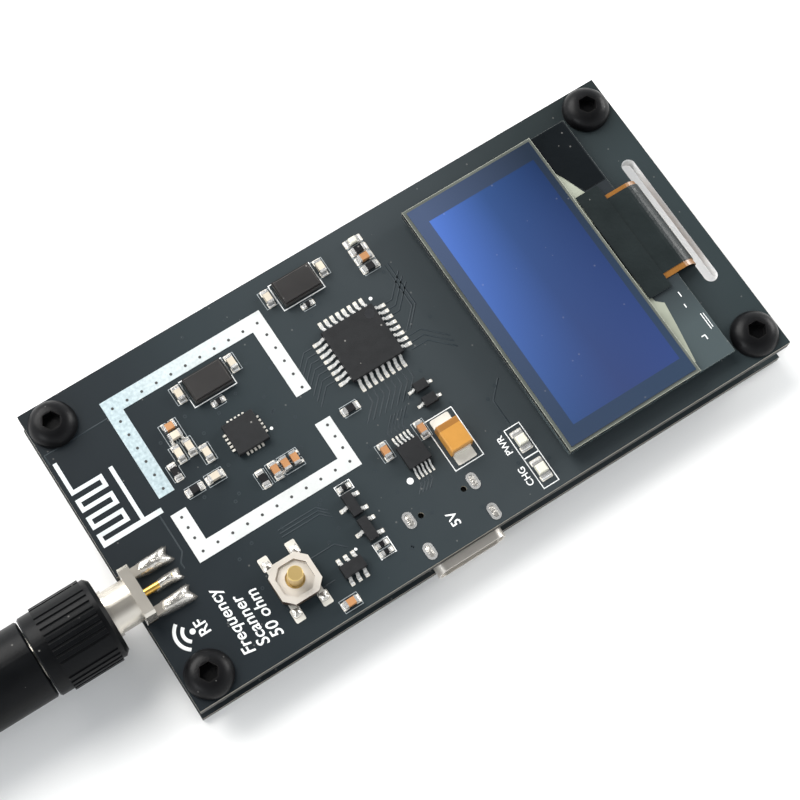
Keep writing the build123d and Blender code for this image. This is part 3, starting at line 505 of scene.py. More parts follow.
tin = finish("bright_tin", (0.70, 0.70, 0.68), 0.42, metal=0.25, mottle=0.10, grain=1800.0,
             bump=0.02, wear=0.1, paint=tin_reflection_paint)
solder = finish("solder", (0.80, 0.79, 0.77), 0.24, metal=0.75, mottle=0.18, grain=2500.0,
                bump=0.06, wear=0.0)
pad_tin = finish("pad_tin", (0.74, 0.71, 0.64), 0.36, metal=0.35, mottle=0.12, grain=2200.0,
                 bump=0.02, wear=0.0)
rough_solder = finish("rough_solder", (0.60, 0.575, 0.53), 0.26, metal=0.8, mottle=0.45,
                      grain=2200.0, bump=0.22, wear=0.0)
lead_tin = finish("lead_tin", (0.72, 0.72, 0.70), 0.32, metal=0.55, mottle=0.10, grain=3500.0)
nickel = finish("bright_nickel", (0.62, 0.58, 0.51), 0.22, metal=0.72, mottle=0.14, grain=1500.0,
                wear=0.3, worn=(0.86, 0.82, 0.72))
black_steel = finish("black_oxide", (0.0045, 0.0045, 0.005), 0.36, mottle=0.4, grain=3000.0,
                     bump=0.02, wear=0.30, worn=(0.05, 0.045, 0.04), edge=0.12, dust=0.15,
                     shine=0.13)
brass = finish("switch_brass", (0.70, 0.50, 0.20), 0.30, metal=0.7, mottle=0.12, grain=2500.0,
               bump=0.006)
gold = finish("gold_plate", (0.72, 0.44, 0.10), 0.28, metal=0.85, mottle=0.1, grain=3000.0,
              bump=0.004)
cover_steel = finish("cover_steel", (0.74, 0.69, 0.62), 0.34, metal=0.5, mottle=0.12,
                     grain=1800.0, bump=0.012, worn=(0.90, 0.87, 0.82), paint=shaded_walls)
steel = finish("pressed_steel", (0.70, 0.66, 0.60), 0.34, metal=0.62, mottle=0.12, grain=1800.0,
               bump=0.012, worn=(0.90, 0.87, 0.82), edge=0.12)
spacer_nickel = finish("spacer_nickel", (0.5, 0.49, 0.45), 0.35, metal=1.0)
dress(tin, "shield_strips")
dress(pad_tin, "crystal_pads", "radio_pads", "tantalum_straps", "switch_terminals")
dress(lead_tin, "processor_leads", "bridge_leads", "diode_leads", "transistor_leads",
      "regulator_leads")
dress(solder, "capacitor_ends", "resistor_ends", "led_ends")
dress(nickel, "connector_body", "antenna_nut", "antenna_plug")
dress(gold, "connector_pin", "antenna_contact", "socket_contacts")
dress(black_steel, "board_screws")
dress(spacer_nickel, "spacers")
dress(cover_steel, "switch_cover")
dress(steel, "switch_dome", "socket_shell")
dress(brass, "switch_plunger", "antenna_radiator")
print("finishes so far", len(bpy.data.materials))

# %% [markdown]
# ## Ceramics, resins and mouldings
# Ceramic chips differ a little from one to the next, so their shade pattern is large enough to give
# each its own tone. Moulded resin is dark and finely pitted, and its edges rub grey.

# %% Non-metal finishes
case_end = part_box("tantalum_body")[1].y
BAR_WIDTH = 0.8 * MM
BAR_STRENGTH = 0.75
BAR_BROWN = (0.22, 0.085, 0.012)


def polarity_bar(tree, skin):
    """Darker bar across one end of the case."""
    bar = add_math(tree, "GREATER_THAN", object_axes(tree)["Y"], case_end - BAR_WIDTH)
    return add_mix(tree, add_math(tree, "MULTIPLY", bar, BAR_STRENGTH), skin, BAR_BROWN)


dress(finish("moulding_resin", (0.0115, 0.0120, 0.0130), 0.5, mottle=0.25, grain=9000.0,
             bump=0.02, worn=(0.06, 0.06, 0.06), edge=0.06, shine=0.25),
      "processor_body", "bridge_body", "radio_body", "diode_bodies", "transistor_bodies",
      "regulator_body")
dress(finish("dark_ceramic", (0.012, 0.0105, 0.0095), 0.36, mottle=0.3, grain=2500.0, shine=0.4),
      "crystal_bases")
dress(finish("dark_lid", (0.017, 0.0155, 0.015), 0.40, metal=0.2, mottle=0.35, grain=2500.0,
             wear=0.35, worn=(0.12, 0.10, 0.085)), "crystal_lids")
dress(finish("grey_ceramic", (0.56, 0.50, 0.40), 0.4, mottle=0.3, grain=1500.0),
      "plain_capacitors")
dress(finish("tan_ceramic", (0.40, 0.19, 0.075), 0.42, mottle=0.3, grain=1500.0),
      "tan_capacitors")
dress(finish("resistor_glaze", (0.010, 0.010, 0.011), 0.3, mottle=0.3, grain=3000.0, bump=0.006,
             shine=0.4), "resistors")
dress(finish("lamp_carrier", (0.55, 0.54, 0.46), 0.5, mottle=0.1), "led_carriers")
dress(finish("lamp_lens", (0.72, 0.70, 0.58), 0.12, mottle=0.1, coat=0.6), "led_lenses")
dress(finish("tantalum_case", (0.46, 0.215, 0.035), 0.42, mottle=0.2, grain=5000.0, bump=0.012,
             wear=0.2, worn=(0.66, 0.38, 0.12), paint=polarity_bar), "tantalum_body")
dress(finish("black_plastic", (0.012, 0.012, 0.012), 0.45, mottle=0.2, grain=5000.0, bump=0.012),
      "switch_base", "socket_tongue")
dress(finish("antenna_plastic", (0.0036, 0.0039, 0.0044), 0.36, mottle=0.3, grain=3500.0,
             bump=0.02, wear=0.12, worn=(0.022, 0.023, 0.025), edge=0.15, dust=0.15, shine=0.10),
      "antenna_collar", "swivel_base", "antenna_mast", "hinge_pin")
dress(finish("fluoropolymer", (0.82, 0.80, 0.74), 0.45, mottle=0.05),
      "connector_insulator", "plug_insulator")
dress(finish("foam", (0.01, 0.01, 0.01), 0.9, mottle=0.4, grain=6000.0, bump=0.05),
      "display_foam")
print("finishes so far", len(bpy.data.materials))

# %% [markdown]
# ## Display
# The unlit panel is a dark mirror, and the reflection on it is painted into its film: clear blue at
# one corner, fading to indigo across and along the panel, inside a dull grey-blue border that fades
# across it too. The driver ledge is bare glass with a painted sheen that greys its low end. The
# colours follow the panel's own axes, so they stay put from any side.

# %% Display finishes
film_low, film_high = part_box("display_polariser")
ACTIVE_LENGTH = 29.4 * MM
ACTIVE_WIDTH = 14.7 * MM
active_centre_x = film_low.x + (2.0 - 0.35) * MM + ACTIVE_WIDTH / 2
active_centre_y = (film_low.y + film_high.y) / 2 - 0.1 * MM
# Painted reflection: the field's and the border's colours carry the reflection on the unlit panel.
FIELD_REFLECTION_TOP = ((0.0, (0.060, 0.125, 0.385)), (0.5, (0.025, 0.056, 0.156)),
             (1.0, (0.0105, 0.025, 0.075)))
FIELD_REFLECTION_LOW = ((0.0, (0.029, 0.057, 0.148)), (0.5, (0.029, 0.0444, 0.1214)),
             (1.0, (0.0265, 0.0465, 0.144)))
BORDER_REFLECTION_TOP = ((0.0, (0.050, 0.070, 0.125)), (1.0, (0.0145, 0.0225, 0.0385)))
BORDER_REFLECTION_LOW = ((0.0, (0.027, 0.042, 0.075)), (1.0, (0.0257, 0.043, 0.077)))
# Painted sheen: the fade and the grey painted on the ledge's low end.
LEDGE_FADE = (-140.0, -0.75)
LEDGE_GREY = (0.060, 0.078, 0.082)
# Painted shade: the dark painted on the front pane's cut sides.
PAINTED_SHADE_PANE_SIDE = (0.012, 0.013, 0.013)


def panel_paint(tree, skin):
    """Painted reflection: a blue field fading across and along the panel, inside a dull border."""
    place = object_axes(tree)
    across = add_math(tree, "SUBTRACT", place["X"], active_centre_x)
    along = add_math(tree, "SUBTRACT", place["Y"], active_centre_y)
    inside = add_math(tree, "MULTIPLY", add_within(tree, across, ACTIVE_WIDTH / 2),
                      add_within(tree, along, ACTIVE_LENGTH / 2))
    far = add_fade(tree, across, (1 / ACTIVE_WIDTH, 0.5))
    down = add_fade(tree, along, (-1 / ACTIVE_LENGTH, 0.5))
    border, field = (
        add_mix(tree, down, add_ramp(tree, far, top), add_ramp(tree, far, low))
        for top, low in ((BORDER_REFLECTION_TOP, BORDER_REFLECTION_LOW), (FIELD_REFLECTION_TOP, FIELD_REFLECTION_LOW)))
    return add_mix(tree, inside, border, field)


def ledge_paint(tree, skin):
    """Clear glass over the board, greyer towards the low end where it catches the light."""
    return add_mix(tree, add_fade(tree, object_axes(tree)["Y"], LEDGE_FADE), skin, LEDGE_GREY)


def pane_paint(tree, skin):
    """Pale rim round the film on the pane's face, where the edges carry a painted highlight, and
    cut sides painted dark as painted shade.
    """
    on_face = add_math(tree, "GREATER_THAN", normal_axes(tree)["Z"], UPRIGHT)
    return add_mix(tree, on_face, PAINTED_SHADE_PANE_SIDE, skin)


dress(finish("display_panel", (0.1, 0.1, 0.1), 0.22, mottle=0.05, grain=600.0, bump=0.001,
             wear=0.0, dust=0.08, shine=0.2, paint=panel_paint), "display_polariser")
# On both panes the worn colour is a painted highlight along their edges, the light that glass edges
# catch.
dress(finish("ledge_glass", (0.020, 0.024, 0.027), 0.10, mottle=0.6, grain=700.0, bump=0.002,
             wear=0.5, worn=(0.34, 0.37, 0.33), edge=0.06, dust=0.1, coat=0.5,
             paint=ledge_paint), "display_rear_glass")
dress(finish("front_glass", (0.11, 0.12, 0.105), 0.12, mottle=0.7, grain=900.0, bump=0.002,
             wear=0.8, worn=(0.80, 0.80, 0.66), edge=0.10, dust=0.1, coat=0.5,
             paint=pane_paint), "display_front_glass")
dress(finish("amber_film", (0.22, 0.090, 0.014), 0.3, mottle=0.2, grain=2500.0, coat=0.4),
      "display_flex")
dress(finish("black_tape", (0.0125, 0.0170, 0.0175), 0.32, mottle=0.45, grain=1600.0, bump=0.06,
             wear=0.2, worn=(0.06, 0.06, 0.06), dust=0.2, shine=0.2), "flex_tape")
dress(finish("bare_die", (0.06, 0.06, 0.07), 0.15, metal=0.4), "display_driver")
label_black = finish("label_black", (0.0045, 0.0062, 0.0075), 0.30, mottle=0.4, grain=1600.0,
                     bump=0.03, wear=0.2, worn=(0.05, 0.05, 0.05), dust=0.15, shine=0.15)
print("picture", round(ACTIVE_WIDTH / MM, 1), "x", round(ACTIVE_LENGTH / MM, 1), "mm")

# %% [markdown]
# ## Printed lines
# Copper under the mask and white print on it are both lines of one width that follow a path. Each
# set is one curve object, and one Geometry Nodes tree sweeps a flat section along every path.

# %% The line tree
def geometry_tree(name, inputs):
    """Geometry Nodes tree that ends in real, painted geometry.

    Gives the tree, its inputs by name, the socket to end in and the inputs' own names.
    """
    tree = bpy.data.node_groups.new(name, "GeometryNodeTree")
    inputs = {"Geometry": "Geometry", **inputs, "Material": "Material"}
    keys = {
        label: tree.interface.new_socket(
            label, in_out="INPUT", socket_type="NodeSocket" + kind).identifier
        for label, kind in inputs.items()}
    tree.interface.new_socket("Geometry", in_out="OUTPUT", socket_type="NodeSocketGeometry")
    entry = tree.nodes.new("NodeGroupInput")
    leave = tree.nodes.new("NodeGroupOutput")
    solid = tree.nodes.new("GeometryNodeRealizeInstances")
    coat = tree.nodes.new("GeometryNodeSetMaterial")
    tree.links.new(solid.outputs["Geometry"], coat.inputs["Geometry"])
    tree.links.new(entry.outputs["Material"], coat.inputs["Material"])
    tree.links.new(coat.outputs["Geometry"], leave.inputs["Geometry"])
    return tree, entry.outputs, solid.inputs["Geometry"], keys


def make_line_tree():
    """Sweeps a flat section along each spline."""
    tree, entry, end, keys = geometry_tree("printed_line", {"Width": "Float", "Height": "Float"})
    section = tree.nodes.new("GeometryNodeCurvePrimitiveQuadrilateral")
    section.mode = "RECTANGLE"
    level = tree.nodes.new("GeometryNodeSetCurveNormal")
    level.mode = "Z_UP"
    sweep = tree.nodes.new("GeometryNodeCurveToMesh")
    sweep.inputs["Fill Caps"].default_value = True
    for source, target in (
            (entry["Geometry"], level.inputs["Curve"]),
            (level.outputs["Curve"], sweep.inputs["Curve"]),
            (entry["Width"], section.inputs["Width"]),
            (entry["Height"], section.inputs["Height"]),
            (section.outputs["Curve"], sweep.inputs["Profile Curve"]),
            (sweep.outputs["Mesh"], end)):
        tree.links.new(source, target)
    return tree, keys


line_tree, line_keys = make_line_tree()


def made_mesh(source):
    """Mesh of what an object's text or modifiers make."""
    bpy.context.view_layer.update()
    return bpy.data.meshes.new_from_object(
        source.evaluated_get(bpy.context.evaluated_depsgraph_get()))


def made_piece(source, tree, values, material):
    """Plain mesh object of a source run through a tree, in its place and with its name."""
    name = source.name
    modifier = source.modifiers.new(tree.name, "NODES")
    modifier.node_group = tree
    for key, value in values.items():
        modifier[key] = value
    mesh = made_mesh(source)
    mesh.name = name
    mesh.materials.clear()
    mesh.materials.append(material)
    bpy.data.objects.remove(source)
    return add_object(name, mesh)


def printed_lines(name, paths, width, height, material):
    """Lines of one width along closed or open paths in board millimetres."""
    curve = bpy.data.curves.new(name, "CURVE")
    curve.dimensions = "3D"
    for points, closed in paths:
        spline = curve.splines.new("POLY")
        spline.points.add(len(points) - 1)
        for point, place in zip(spline.points, points):
            point.co = (*on_board(*place, height / 2), 1.0)
        spline.use_cyclic_u = closed
    values = {line_keys["Width"]: width * MM, line_keys["Height"]: height * MM,
              line_keys["Material"]: material}
    return made_piece(add_object(name, curve), line_tree, values, material)


def settle(piece, body="instrument"):
    """Fix a finished piece to its body."""
    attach(piece, body)
    print(piece.name, len(piece.data.polygons), "faces")
    return piece


# %% [markdown]
# ## White print
# The board's legend is a layer of white ink a few hundredths of a millimetre thick: frames round
# the tall parts, dots at pin one, and a few words. Words are set with Blender's own font and made
# solid, because ink has an edge that catches light.

# %% Frames and marks in white ink
ink = finish("legend_ink", (0.78, 0.79, 0.78), 0.55, mottle=0.08, grain=5000.0, bump=0.01, wear=0.0)
INK_HEIGHT = 0.02
FRAME_WIDTH = 0.16
WAVE_WIDTH = 0.42


def box_path(left, top, right, bottom):
    return ([(left, top), (right, top), (right, bottom), (left, bottom)], True)


def arc_path(left, top, radius, start, end, steps=14):
    """Arc about a place, angles in degrees from the right, turning towards the top."""
    angles = [math.radians(start + (end - start) * step / steps) for step in range(steps + 1)]
    return ([(left + radius * math.cos(a), top - radius * math.sin(a)) for a in angles], False)


fine_frames = [
    box_path(17.75, 6.35, 23.35, 9.95),
    box_path(32.7, 1.8, 38.3, 5.4),
    box_path(38.7, 25.5, 42.5, 32.2),
    box_path(26.0, 26.5, 27.95, 27.6),
    box_path(26.0, 34.4, 27.95, 36.35),
    box_path(45.97, 31.2, 48.0, 39.25),
    ([(45.97, 35.2), (48.0, 35.2)], False),
]
settle(printed_lines("legend_frames", fine_frames, FRAME_WIDTH, INK_HEIGHT, ink))

WAVE_CENTRE = (3.95, 31.95)
waves = [arc_path(*WAVE_CENTRE, radius, 125, 235) for radius in (1.15, 2.05)]
settle(printed_lines("legend_waves", waves, WAVE_WIDTH, INK_HEIGHT, ink))

# %% Words in white ink
WORD_BOLDNESS = 0.012


def add_word(target, text, left, top, size, turn, lean=0.0):
    """Add a word to a mesh, its start at a place, reading along a turn in degrees."""
    curve = bpy.data.curves.new("word", "FONT")
    curve.body = text
    curve.size = size * MM
    curve.shear = lean
    curve.extrude = INK_HEIGHT * MM / 2
    curve.offset = size * MM * WORD_BOLDNESS
    curve.resolution_u = 3
    word = add_object("word", curve)
    mesh = made_mesh(word)
    spin = Matrix.Rotation(math.radians(turn), 4, "Z")
    mesh.transform(Matrix.Translation(on_board(left, top, INK_HEIGHT / 2)) @ spin)
    target.from_mesh(mesh)
    bpy.data.objects.remove(word)
    bpy.data.meshes.remove(mesh)


def add_disc(shape, centre, radius, height, sides=16):
    """Add a low disc about a centre."""
    bmesh.ops.create_cone(
        shape, cap_ends=True, segments=sides, radius1=radius, radius2=radius, depth=height,
        matrix=Matrix.Translation(centre))


def shape_to_piece(name, shape, material):
    """Object from a bmesh, normals outwards."""
    bmesh.ops.recalc_face_normals(shape, faces=shape.faces)
    mesh = bpy.data.meshes.new(name)
    shape.to_mesh(mesh)
    shape.free()
    mesh.materials.append(material)
    return add_object(name, mesh)


words = bmesh.new()
for word, left, top, size, lean in (
        ("RF", 5.75, 33.1, 1.9, 0.0), ("Frequency", 8.75, 37.6, 2.0, 0.18),
        ("Scanner", 10.6, 37.6, 2.0, 0.18), ("50 ohm", 12.4, 37.6, 2.0, 0.18),
        ("PWR", 45.45, 33.9, 1.15, 0.0), ("CHG", 45.45, 38.2, 1.15, 0.0),
        ("5V", 35.9, 37.6, 1.6, 0.0)):
    add_word(words, word, left, top, size, 90, lean)
for left, top, radius in (
        (*WAVE_CENTRE, 0.34), (41.97, 9.47, 0.22), (23.8, 16.7, 0.2), (33.7, 30.4, 0.4),
        (24.2, 33.75, 0.18)):
    add_disc(words, on_board(left, top, INK_HEIGHT / 2), radius * MM, INK_HEIGHT * MM)
settle(shape_to_piece("legend_words", words, ink))
def above_face(node):
    """Height of a CAD node's top above the board's face, in millimetres."""
    return (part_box(node)[1].z - board_high.z) / MM


dimple = bmesh.new()
DIMPLE_HEIGHT = 0.012
dimple_centre = on_board(40.6, 11.3, above_face("processor_body") + DIMPLE_HEIGHT / 2)
add_disc(dimple, dimple_centre, 0.6 * MM, DIMPLE_HEIGHT * MM, sides=28)
dimple_resin = finish("dimple_resin", (0.020, 0.021, 0.023), 0.3, mottle=0.2, grain=6000.0,
                      wear=0.0)
settle(shape_to_piece("pin_one_dimple", dimple, dimple_resin))

# %% [markdown]
# ## The display's ledge
# Beside the picture the rear pane carries a black label and the tape over its driver. Between them
# the cut edge of the front pane throws pale streaks of light on the ledge, painted on as pale
# plates, and small alignment marks are printed in metal. All are thin plates cut to their outline.

# %% Label, streaks and marks
def raise_outline(shape, corners, height):
    """Solid on a flat outline, raised by a height."""
    face = shape.faces.new([shape.verts.new(corner) for corner in corners])
    raised = bmesh.ops.extrude_face_region(shape, geom=[face])["geom"]
    tops = [item for item in raised if isinstance(item, bmesh.types.BMVert)]
    bmesh.ops.translate(shape, verts=tops, vec=(0, 0, height))


ledge_height = above_face("display_rear_glass")
ledge_left = from_frame("display_front_glass")[2]
LEDGE_PRINT = 0.02


def ledge_plates(outlines, height):
    """Thin plates on the ledge, their outlines in board millimetres."""
    shape = bmesh.new()
    for outline in outlines:
        corners = [on_board(left, top, ledge_height) for left, top in outline]
        raise_outline(shape, corners, height * MM)
    return shape


def from_pane(*places):
    """Outline whose places are measured from the front pane's edge."""
    return [(ledge_left + away, top) for away, top in places]


LABEL_RIGHT = 73.1 - ledge_left
label = ledge_plates([from_pane(
    (0.15, 3.3), (LABEL_RIGHT - 0.2, 3.3), (LABEL_RIGHT, 3.5), (LABEL_RIGHT, 12.1), (2.0, 12.1),
    (0.15, 8.2))], 0.08)
settle(shape_to_piece("ledge_label", label, label_black))

# Painted light: pale plates for the streaks of light that the front pane's cut edge throws.
pale_glass = finish("pale_glass", (0.34, 0.36, 0.29), 0.25, mottle=0.55, grain=1500.0,
                    bump=0.004, wear=0.0)
streaks = ledge_plates([
    from_pane((0.1, 8.4), (0.35, 8.4), (1.8, 12.3), (0.7, 12.6), (0.5, 16.0), (0.1, 16.0)),
    from_pane((0.1, 22.0), (0.5, 26.0), (0.8, 27.9), (1.6, 28.6), (1.2, 31.5), (0.4, 36.4),
              (0.1, 36.4))], LEDGE_PRINT)
settle(shape_to_piece("ledge_streaks", streaks, pale_glass))

marks = ledge_plates([
    box_path(left - length / 2, top - width / 2, left + length / 2, top + width / 2)[0]
    for left, top, length, width in (
        (72.0, 28.7, 0.12, 0.7), (71.7, 30.2, 0.12, 0.5), (71.3, 34.3, 0.5, 0.14),
        (71.5, 34.6, 0.14, 0.6), (72.6, 33.0, 0.10, 2.2), (72.9, 33.0, 0.08, 2.0))],
    LEDGE_PRINT)
settle(shape_to_piece("ledge_marks", marks, ink))

# %% [markdown]
# ## Copper under the mask
# Tracks show through the mask as faint raised lines. They leave the chips in fans, turn at 45
# degrees and run in parallel to the next part, which is how a layout program routes them.

# %% Masked tracks
def fan(left, top, step, count, run, bend):
    """Parallel tracks that leave a row of pins, run straight, then turn at 45 degrees."""
    paths = []
    for index in range(count):
        x = left + step[0] * index
        y = top + step[1] * index
        corner = (x + run[0], y + run[1])
        paths.append(([(x, y), corner, (corner[0] + bend[0], corner[1] + bend[1])], False))
    return paths


tracks = []
for place, step, count, run, bend in (
        ((34.0, 11.0), (0, 0.8), 7, (-2.2, 0), (-1.8, 1.8)),
        ((35.3, 18.6), (0.8, 0), 8, (0, 1.6), (-1.9, 1.9)),
        ((42.6, 10.9), (0, 0.8), 3, (1.4, 0), (2.6, -2.6)),
        ((42.6, 15.7), (0, 0.8), 3, (2.2, 0), (2.5, 2.5)),
        ((34.6, 25.5), (0.5, 0), 5, (0, -1.2), (1.6, -1.6)),
        ((34.6, 30.4), (0.5, 0), 4, (0, 1.0), (-0.9, 0.9)),
        ((45.6, 6.8), (0.45, 0), 2, (0, 6.0), (-2.2, 2.2)),
        ((18.0, 27.3), (0, 0.45), 3, (5.0, 0), (1.0, 1.0))):
    tracks += fan(*place, step, count, run, bend)
tracks += [
    ([(0.3, 7.0), (0.3, 5.7), (8.7, 5.7)], False),
    ([(7.7, 18.5), (7.7, 23.6), (6.9, 24.6), (6.9, 25.4)], False),
    ([(18.6, 32.0), (22.5, 32.0), (23.6, 33.1)], False),
    ([(18.5, 35.5), (20.4, 35.5)], False),
    ([(47.0, 30.8), (47.0, 27.5), (49.0, 25.5)], False),
]
masked_copper = finish("masked_copper", (0.021, 0.029, 0.034), 0.48, mottle=0.1, wear=0.0,
                       shine=0.22)
TRACK_WIDTH = 0.20
TRACK_HEIGHT = 0.008
settle(printed_lines("masked_tracks", tracks, TRACK_WIDTH, TRACK_HEIGHT, masked_copper))
dress(finish("antenna_tin", (0.66, 0.71, 0.72), 0.38, metal=0.35, mottle=0.2), "antenna_trace")

# %% [markdown]
# ## Plated holes
# A via is a plated hole with a ring round it. Hundreds are alike, so one unit shape is placed on
# points by a Geometry Nodes tree, once for the bare strips and once for the masked board: a dark
# disc of painted shade for the hole's depth on the strips, and a low ring on the masked board.

# %% The placing tree
def make_placing_tree():
    """Puts a piece on each point, turned and sized by the point's attributes."""
    tree, entry, end, keys = geometry_tree("place_on_points", {"Piece": "Object"})
    info = tree.nodes.new("GeometryNodeObjectInfo")
    place = tree.nodes.new("GeometryNodeInstanceOnPoints")
    for label, target in (("turn", "Rotation"), ("size", "Scale")):
        value = tree.nodes.new("GeometryNodeInputNamedAttribute")
        value.data_type = "FLOAT_VECTOR"
        value.inputs["Name"].default_value = label
        tree.links.new(value.outputs["Attribute"], place.inputs[target])
    tree.links.new(entry["Geometry"], place.inputs["Points"])
    tree.links.new(entry["Piece"], info.inputs["Object"])
    tree.links.new(info.outputs["Geometry"], place.inputs["Instance"])
    tree.links.new(place.outputs["Instances"], end)
    return tree, keys


placing_tree, placing_keys = make_placing_tree()


def place_pieces(name, unit, places, material):
    """Copies of a unit shape at (left, top, height, turn in degrees, sizes in millimetres)."""
    points = bpy.data.meshes.new(name)
    points.from_pydata([on_board(left, top, height) for left, top, height, _, _ in places], [], [])
    turns = points.attributes.new("turn", "FLOAT_VECTOR", "POINT")
    sizes = points.attributes.new("size", "FLOAT_VECTOR", "POINT")
    for index, (_, _, _, turn, size) in enumerate(places):
        turns.data[index].vector = (0, 0, math.radians(turn))
        sizes.data[index].vector = [edge * MM for edge in size]
    source = add_object(name, points)
    model = shape_to_piece(name + "_unit", unit, material)
    values = {placing_keys["Piece"]: model, placing_keys["Material"]: material}
    piece = made_piece(source, placing_tree, values, material)
    bpy.data.objects.remove(model)
    return piece


def join_loops(shape, near, far):
    """Faces between two closed loops of equal length."""
    for step in range(len(near)):
        after = (step + 1) % len(near)
        shape.faces.new((near[step], near[after], far[after], far[step]))


def ring_shape(length, width, wall, height, sides):
    """Ring with straight sides along Y and round ends. A round one has equal length and width."""
    shape = bmesh.new()
    straight = (length - width) / 2
    outer, inner = width / 2, width / 2 - wall
    loops = []
    for radius, level in ((outer, 0.0), (outer, height), (inner, height), (inner, 0.0)):
        loop = []
        for step in range(sides):
            angle = 2 * math.pi * step / sides
            shift = straight if math.sin(angle) >= 0 else -straight
            loop.append(shape.verts.new(
                (radius * math.cos(angle), radius * math.sin(angle) + shift, level)))
        loops.append(loop)
    for index in range(4):
        join_loops(shape, loops[index], loops[(index + 1) % 4])
    return shape


# %% Vias
strip_left, strip_top, strip_right, strip_bottom = from_frame("shield_strips")
VIA_PITCH = 1.86
STRIP_HEIGHT = 0.05
HOLE_SIZE = (0.36, 0.36, 0.012)
RING_SIZE = (0.46, 0.46, 0.010)
strip_vias = []


def via_line(left, top, right, bottom):
    """Evenly spaced holes between two places."""
    steps = max(1, round(math.hypot(right - left, bottom - top) / VIA_PITCH))
    for step in range(steps + 1):
        x = left + (right - left) * step / steps
        y = top + (bottom - top) * step / steps
        strip_vias.append((x, y, STRIP_HEIGHT, 0, HOLE_SIZE))


near_side, far_side = strip_left + 1.0, strip_right - 0.8
last_via = strip_right - 1.0
for line in (
        (near_side, strip_top + 1.3, last_via, strip_top + 1.3),
        (near_side, strip_top + 3.1, near_side, 16.2),
        (far_side, strip_top + 3.1, far_side, 14.4),
        (near_side, strip_bottom - 1.0, last_via, strip_bottom - 1.0),
        (near_side, 20.2, near_side, strip_bottom - 2.8),
        (far_side, 19.8, far_side, strip_bottom - 2.8)):
    via_line(*line)
# Painted shade: a dark disc on the strip stands for the depth of each open hole.
via_hole = bmesh.new()
add_disc(via_hole, (0, 0, 0.5), radius=0.5, height=1.0, sides=12)
hole_shade = finish("via_hole", (0.05, 0.05, 0.05), 0.5, metal=0.3, wear=0.0)
settle(place_pieces("strip_vias", via_hole, strip_vias, hole_shade))

MASKED_VIAS = 90
random.seed(12)
masked_vias = []
for index in range(MASKED_VIAS):
    x = random.uniform(12.0, 49.0)
    y = random.uniform(1.5, 38.5)
    masked_vias.append((x, y, 0.0, 0, RING_SIZE))
via_ring = ring_shape(length=1.0, width=1.0, wall=0.3, height=1.0, sides=14)
settle(place_pieces("masked_vias", via_ring, masked_vias, masked_copper))

# %% [markdown]
# ## Solder
# Molten solder wets a pad and climbs the metal end of a part, then freezes as a concave slope.
# One unit fillet, a hollow wedge, is placed at every soldered end and sized to fit, with a thin
# pad under it.

# %% Unit shapes for solder
FILLET_HOLLOW = 2.2
FILLET_TIP = 0.04
FILLET_TAPER = 0.12
FILLET_CROWN = 0.8


def fillet_shape(steps=5):
    """Wedge that falls in a hollow curve from height 1 at X = 0 to nothing at X = 1."""
    shape = bmesh.new()
    rows = []
    for step in range(steps + 1):
        x = step / steps
        height = max(FILLET_TIP, (1 - x) ** FILLET_HOLLOW)
        half = 0.5 - FILLET_TAPER * x * x
        crown = half * FILLET_CROWN
        rows.append([shape.verts.new(corner) for corner in (
            (x, -half, 0), (x, -crown, height), (x, crown, height), (x, half, 0))])
    for near, far in zip(rows, rows[1:]):
        join_loops(shape, near, far)
    shape.faces.new(rows[0])
    shape.faces.new(rows[-1])
    return shape


def pad_shape():
    """Flat plate one unit each way, with cut corners."""
    shape = bmesh.new()
    cut = 0.42
    outline = [(0.5, cut), (cut, 0.5), (-cut, 0.5), (-0.5, cut),
               (-0.5, -cut), (-cut, -0.5), (cut, -0.5), (0.5, -cut)]
    raise_outline(shape, [(x, y, 0) for x, y in outline], 1)
    return shape


def loose_boxes(node):
    """Low and high corner of each loose part of a CAD node, read from its mesh."""
    shape = bmesh.new()
    shape.from_mesh(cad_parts[node].data)
    bmesh.ops.remove_doubles(shape, verts=shape.verts, dist=1e-7)
    boxes = []
    waiting = set(shape.verts)
    while waiting:
        stack = [waiting.pop()]
        island = []
        while stack:
            vertex = stack.pop()
            island.append(vertex.co.copy())
            for edge in vertex.link_edges:
                other = edge.other_vert(vertex)
                if other in waiting:
                    waiting.remove(other)
                    stack.append(other)
        boxes.append(tuple(
            Vector([pick(co[axis] for co in island) for axis in range(3)]) for pick in (min, max)))
    shape.free()
    return boxes


def middle_of(box):
    return (box[0] + box[1]) / 2


def partner_of(end_box, boxes):
    """The nearest other box, which is the chip's other end."""
    middle = middle_of(end_box)
    return min((box for box in boxes if box is not end_box),
               key=lambda box: (middle_of(box) - middle).length)


def turn_of(away, along_x):
    """Turn in degrees of the board axis that a vector follows."""
    if along_x:
        return 0 if away.x > 0 else 180
    return 90 if away.y > 0 else 270


def outward(end_box, boxes):
    """Turn in degrees from a chip's middle towards this end."""
    away = middle_of(end_box) - middle_of(partner_of(end_box, boxes))
    return turn_of(away, abs(away.x) > abs(away.y))


def heading(turn):
    """Flat unit vector at a turn in degrees."""
    return Vector((math.cos(math.radians(turn)), math.sin(math.radians(turn)), 0))


# %% Outlines round the chips
def chip_outlines(node, margin):
    """Thin printed boxes round each chip, from the pairs of its end caps."""
    boxes = loose_boxes(node)
    outlines = []
    for end_box in boxes:
        if outward(end_box, boxes) in (180, 270):
            continue
        partner = partner_of(end_box, boxes)
        left = (min(end_box[0].x, partner[0].x) - board_low.x) / MM - margin
        right = (max(end_box[1].x, partner[1].x) - board_low.x) / MM + margin
        top = (board_high.y - max(end_box[1].y, partner[1].y)) / MM - margin
        bottom = (board_high.y - min(end_box[0].y, partner[0].y)) / MM + margin
        outlines.append(box_path(left, top, right, bottom))
    return outlines


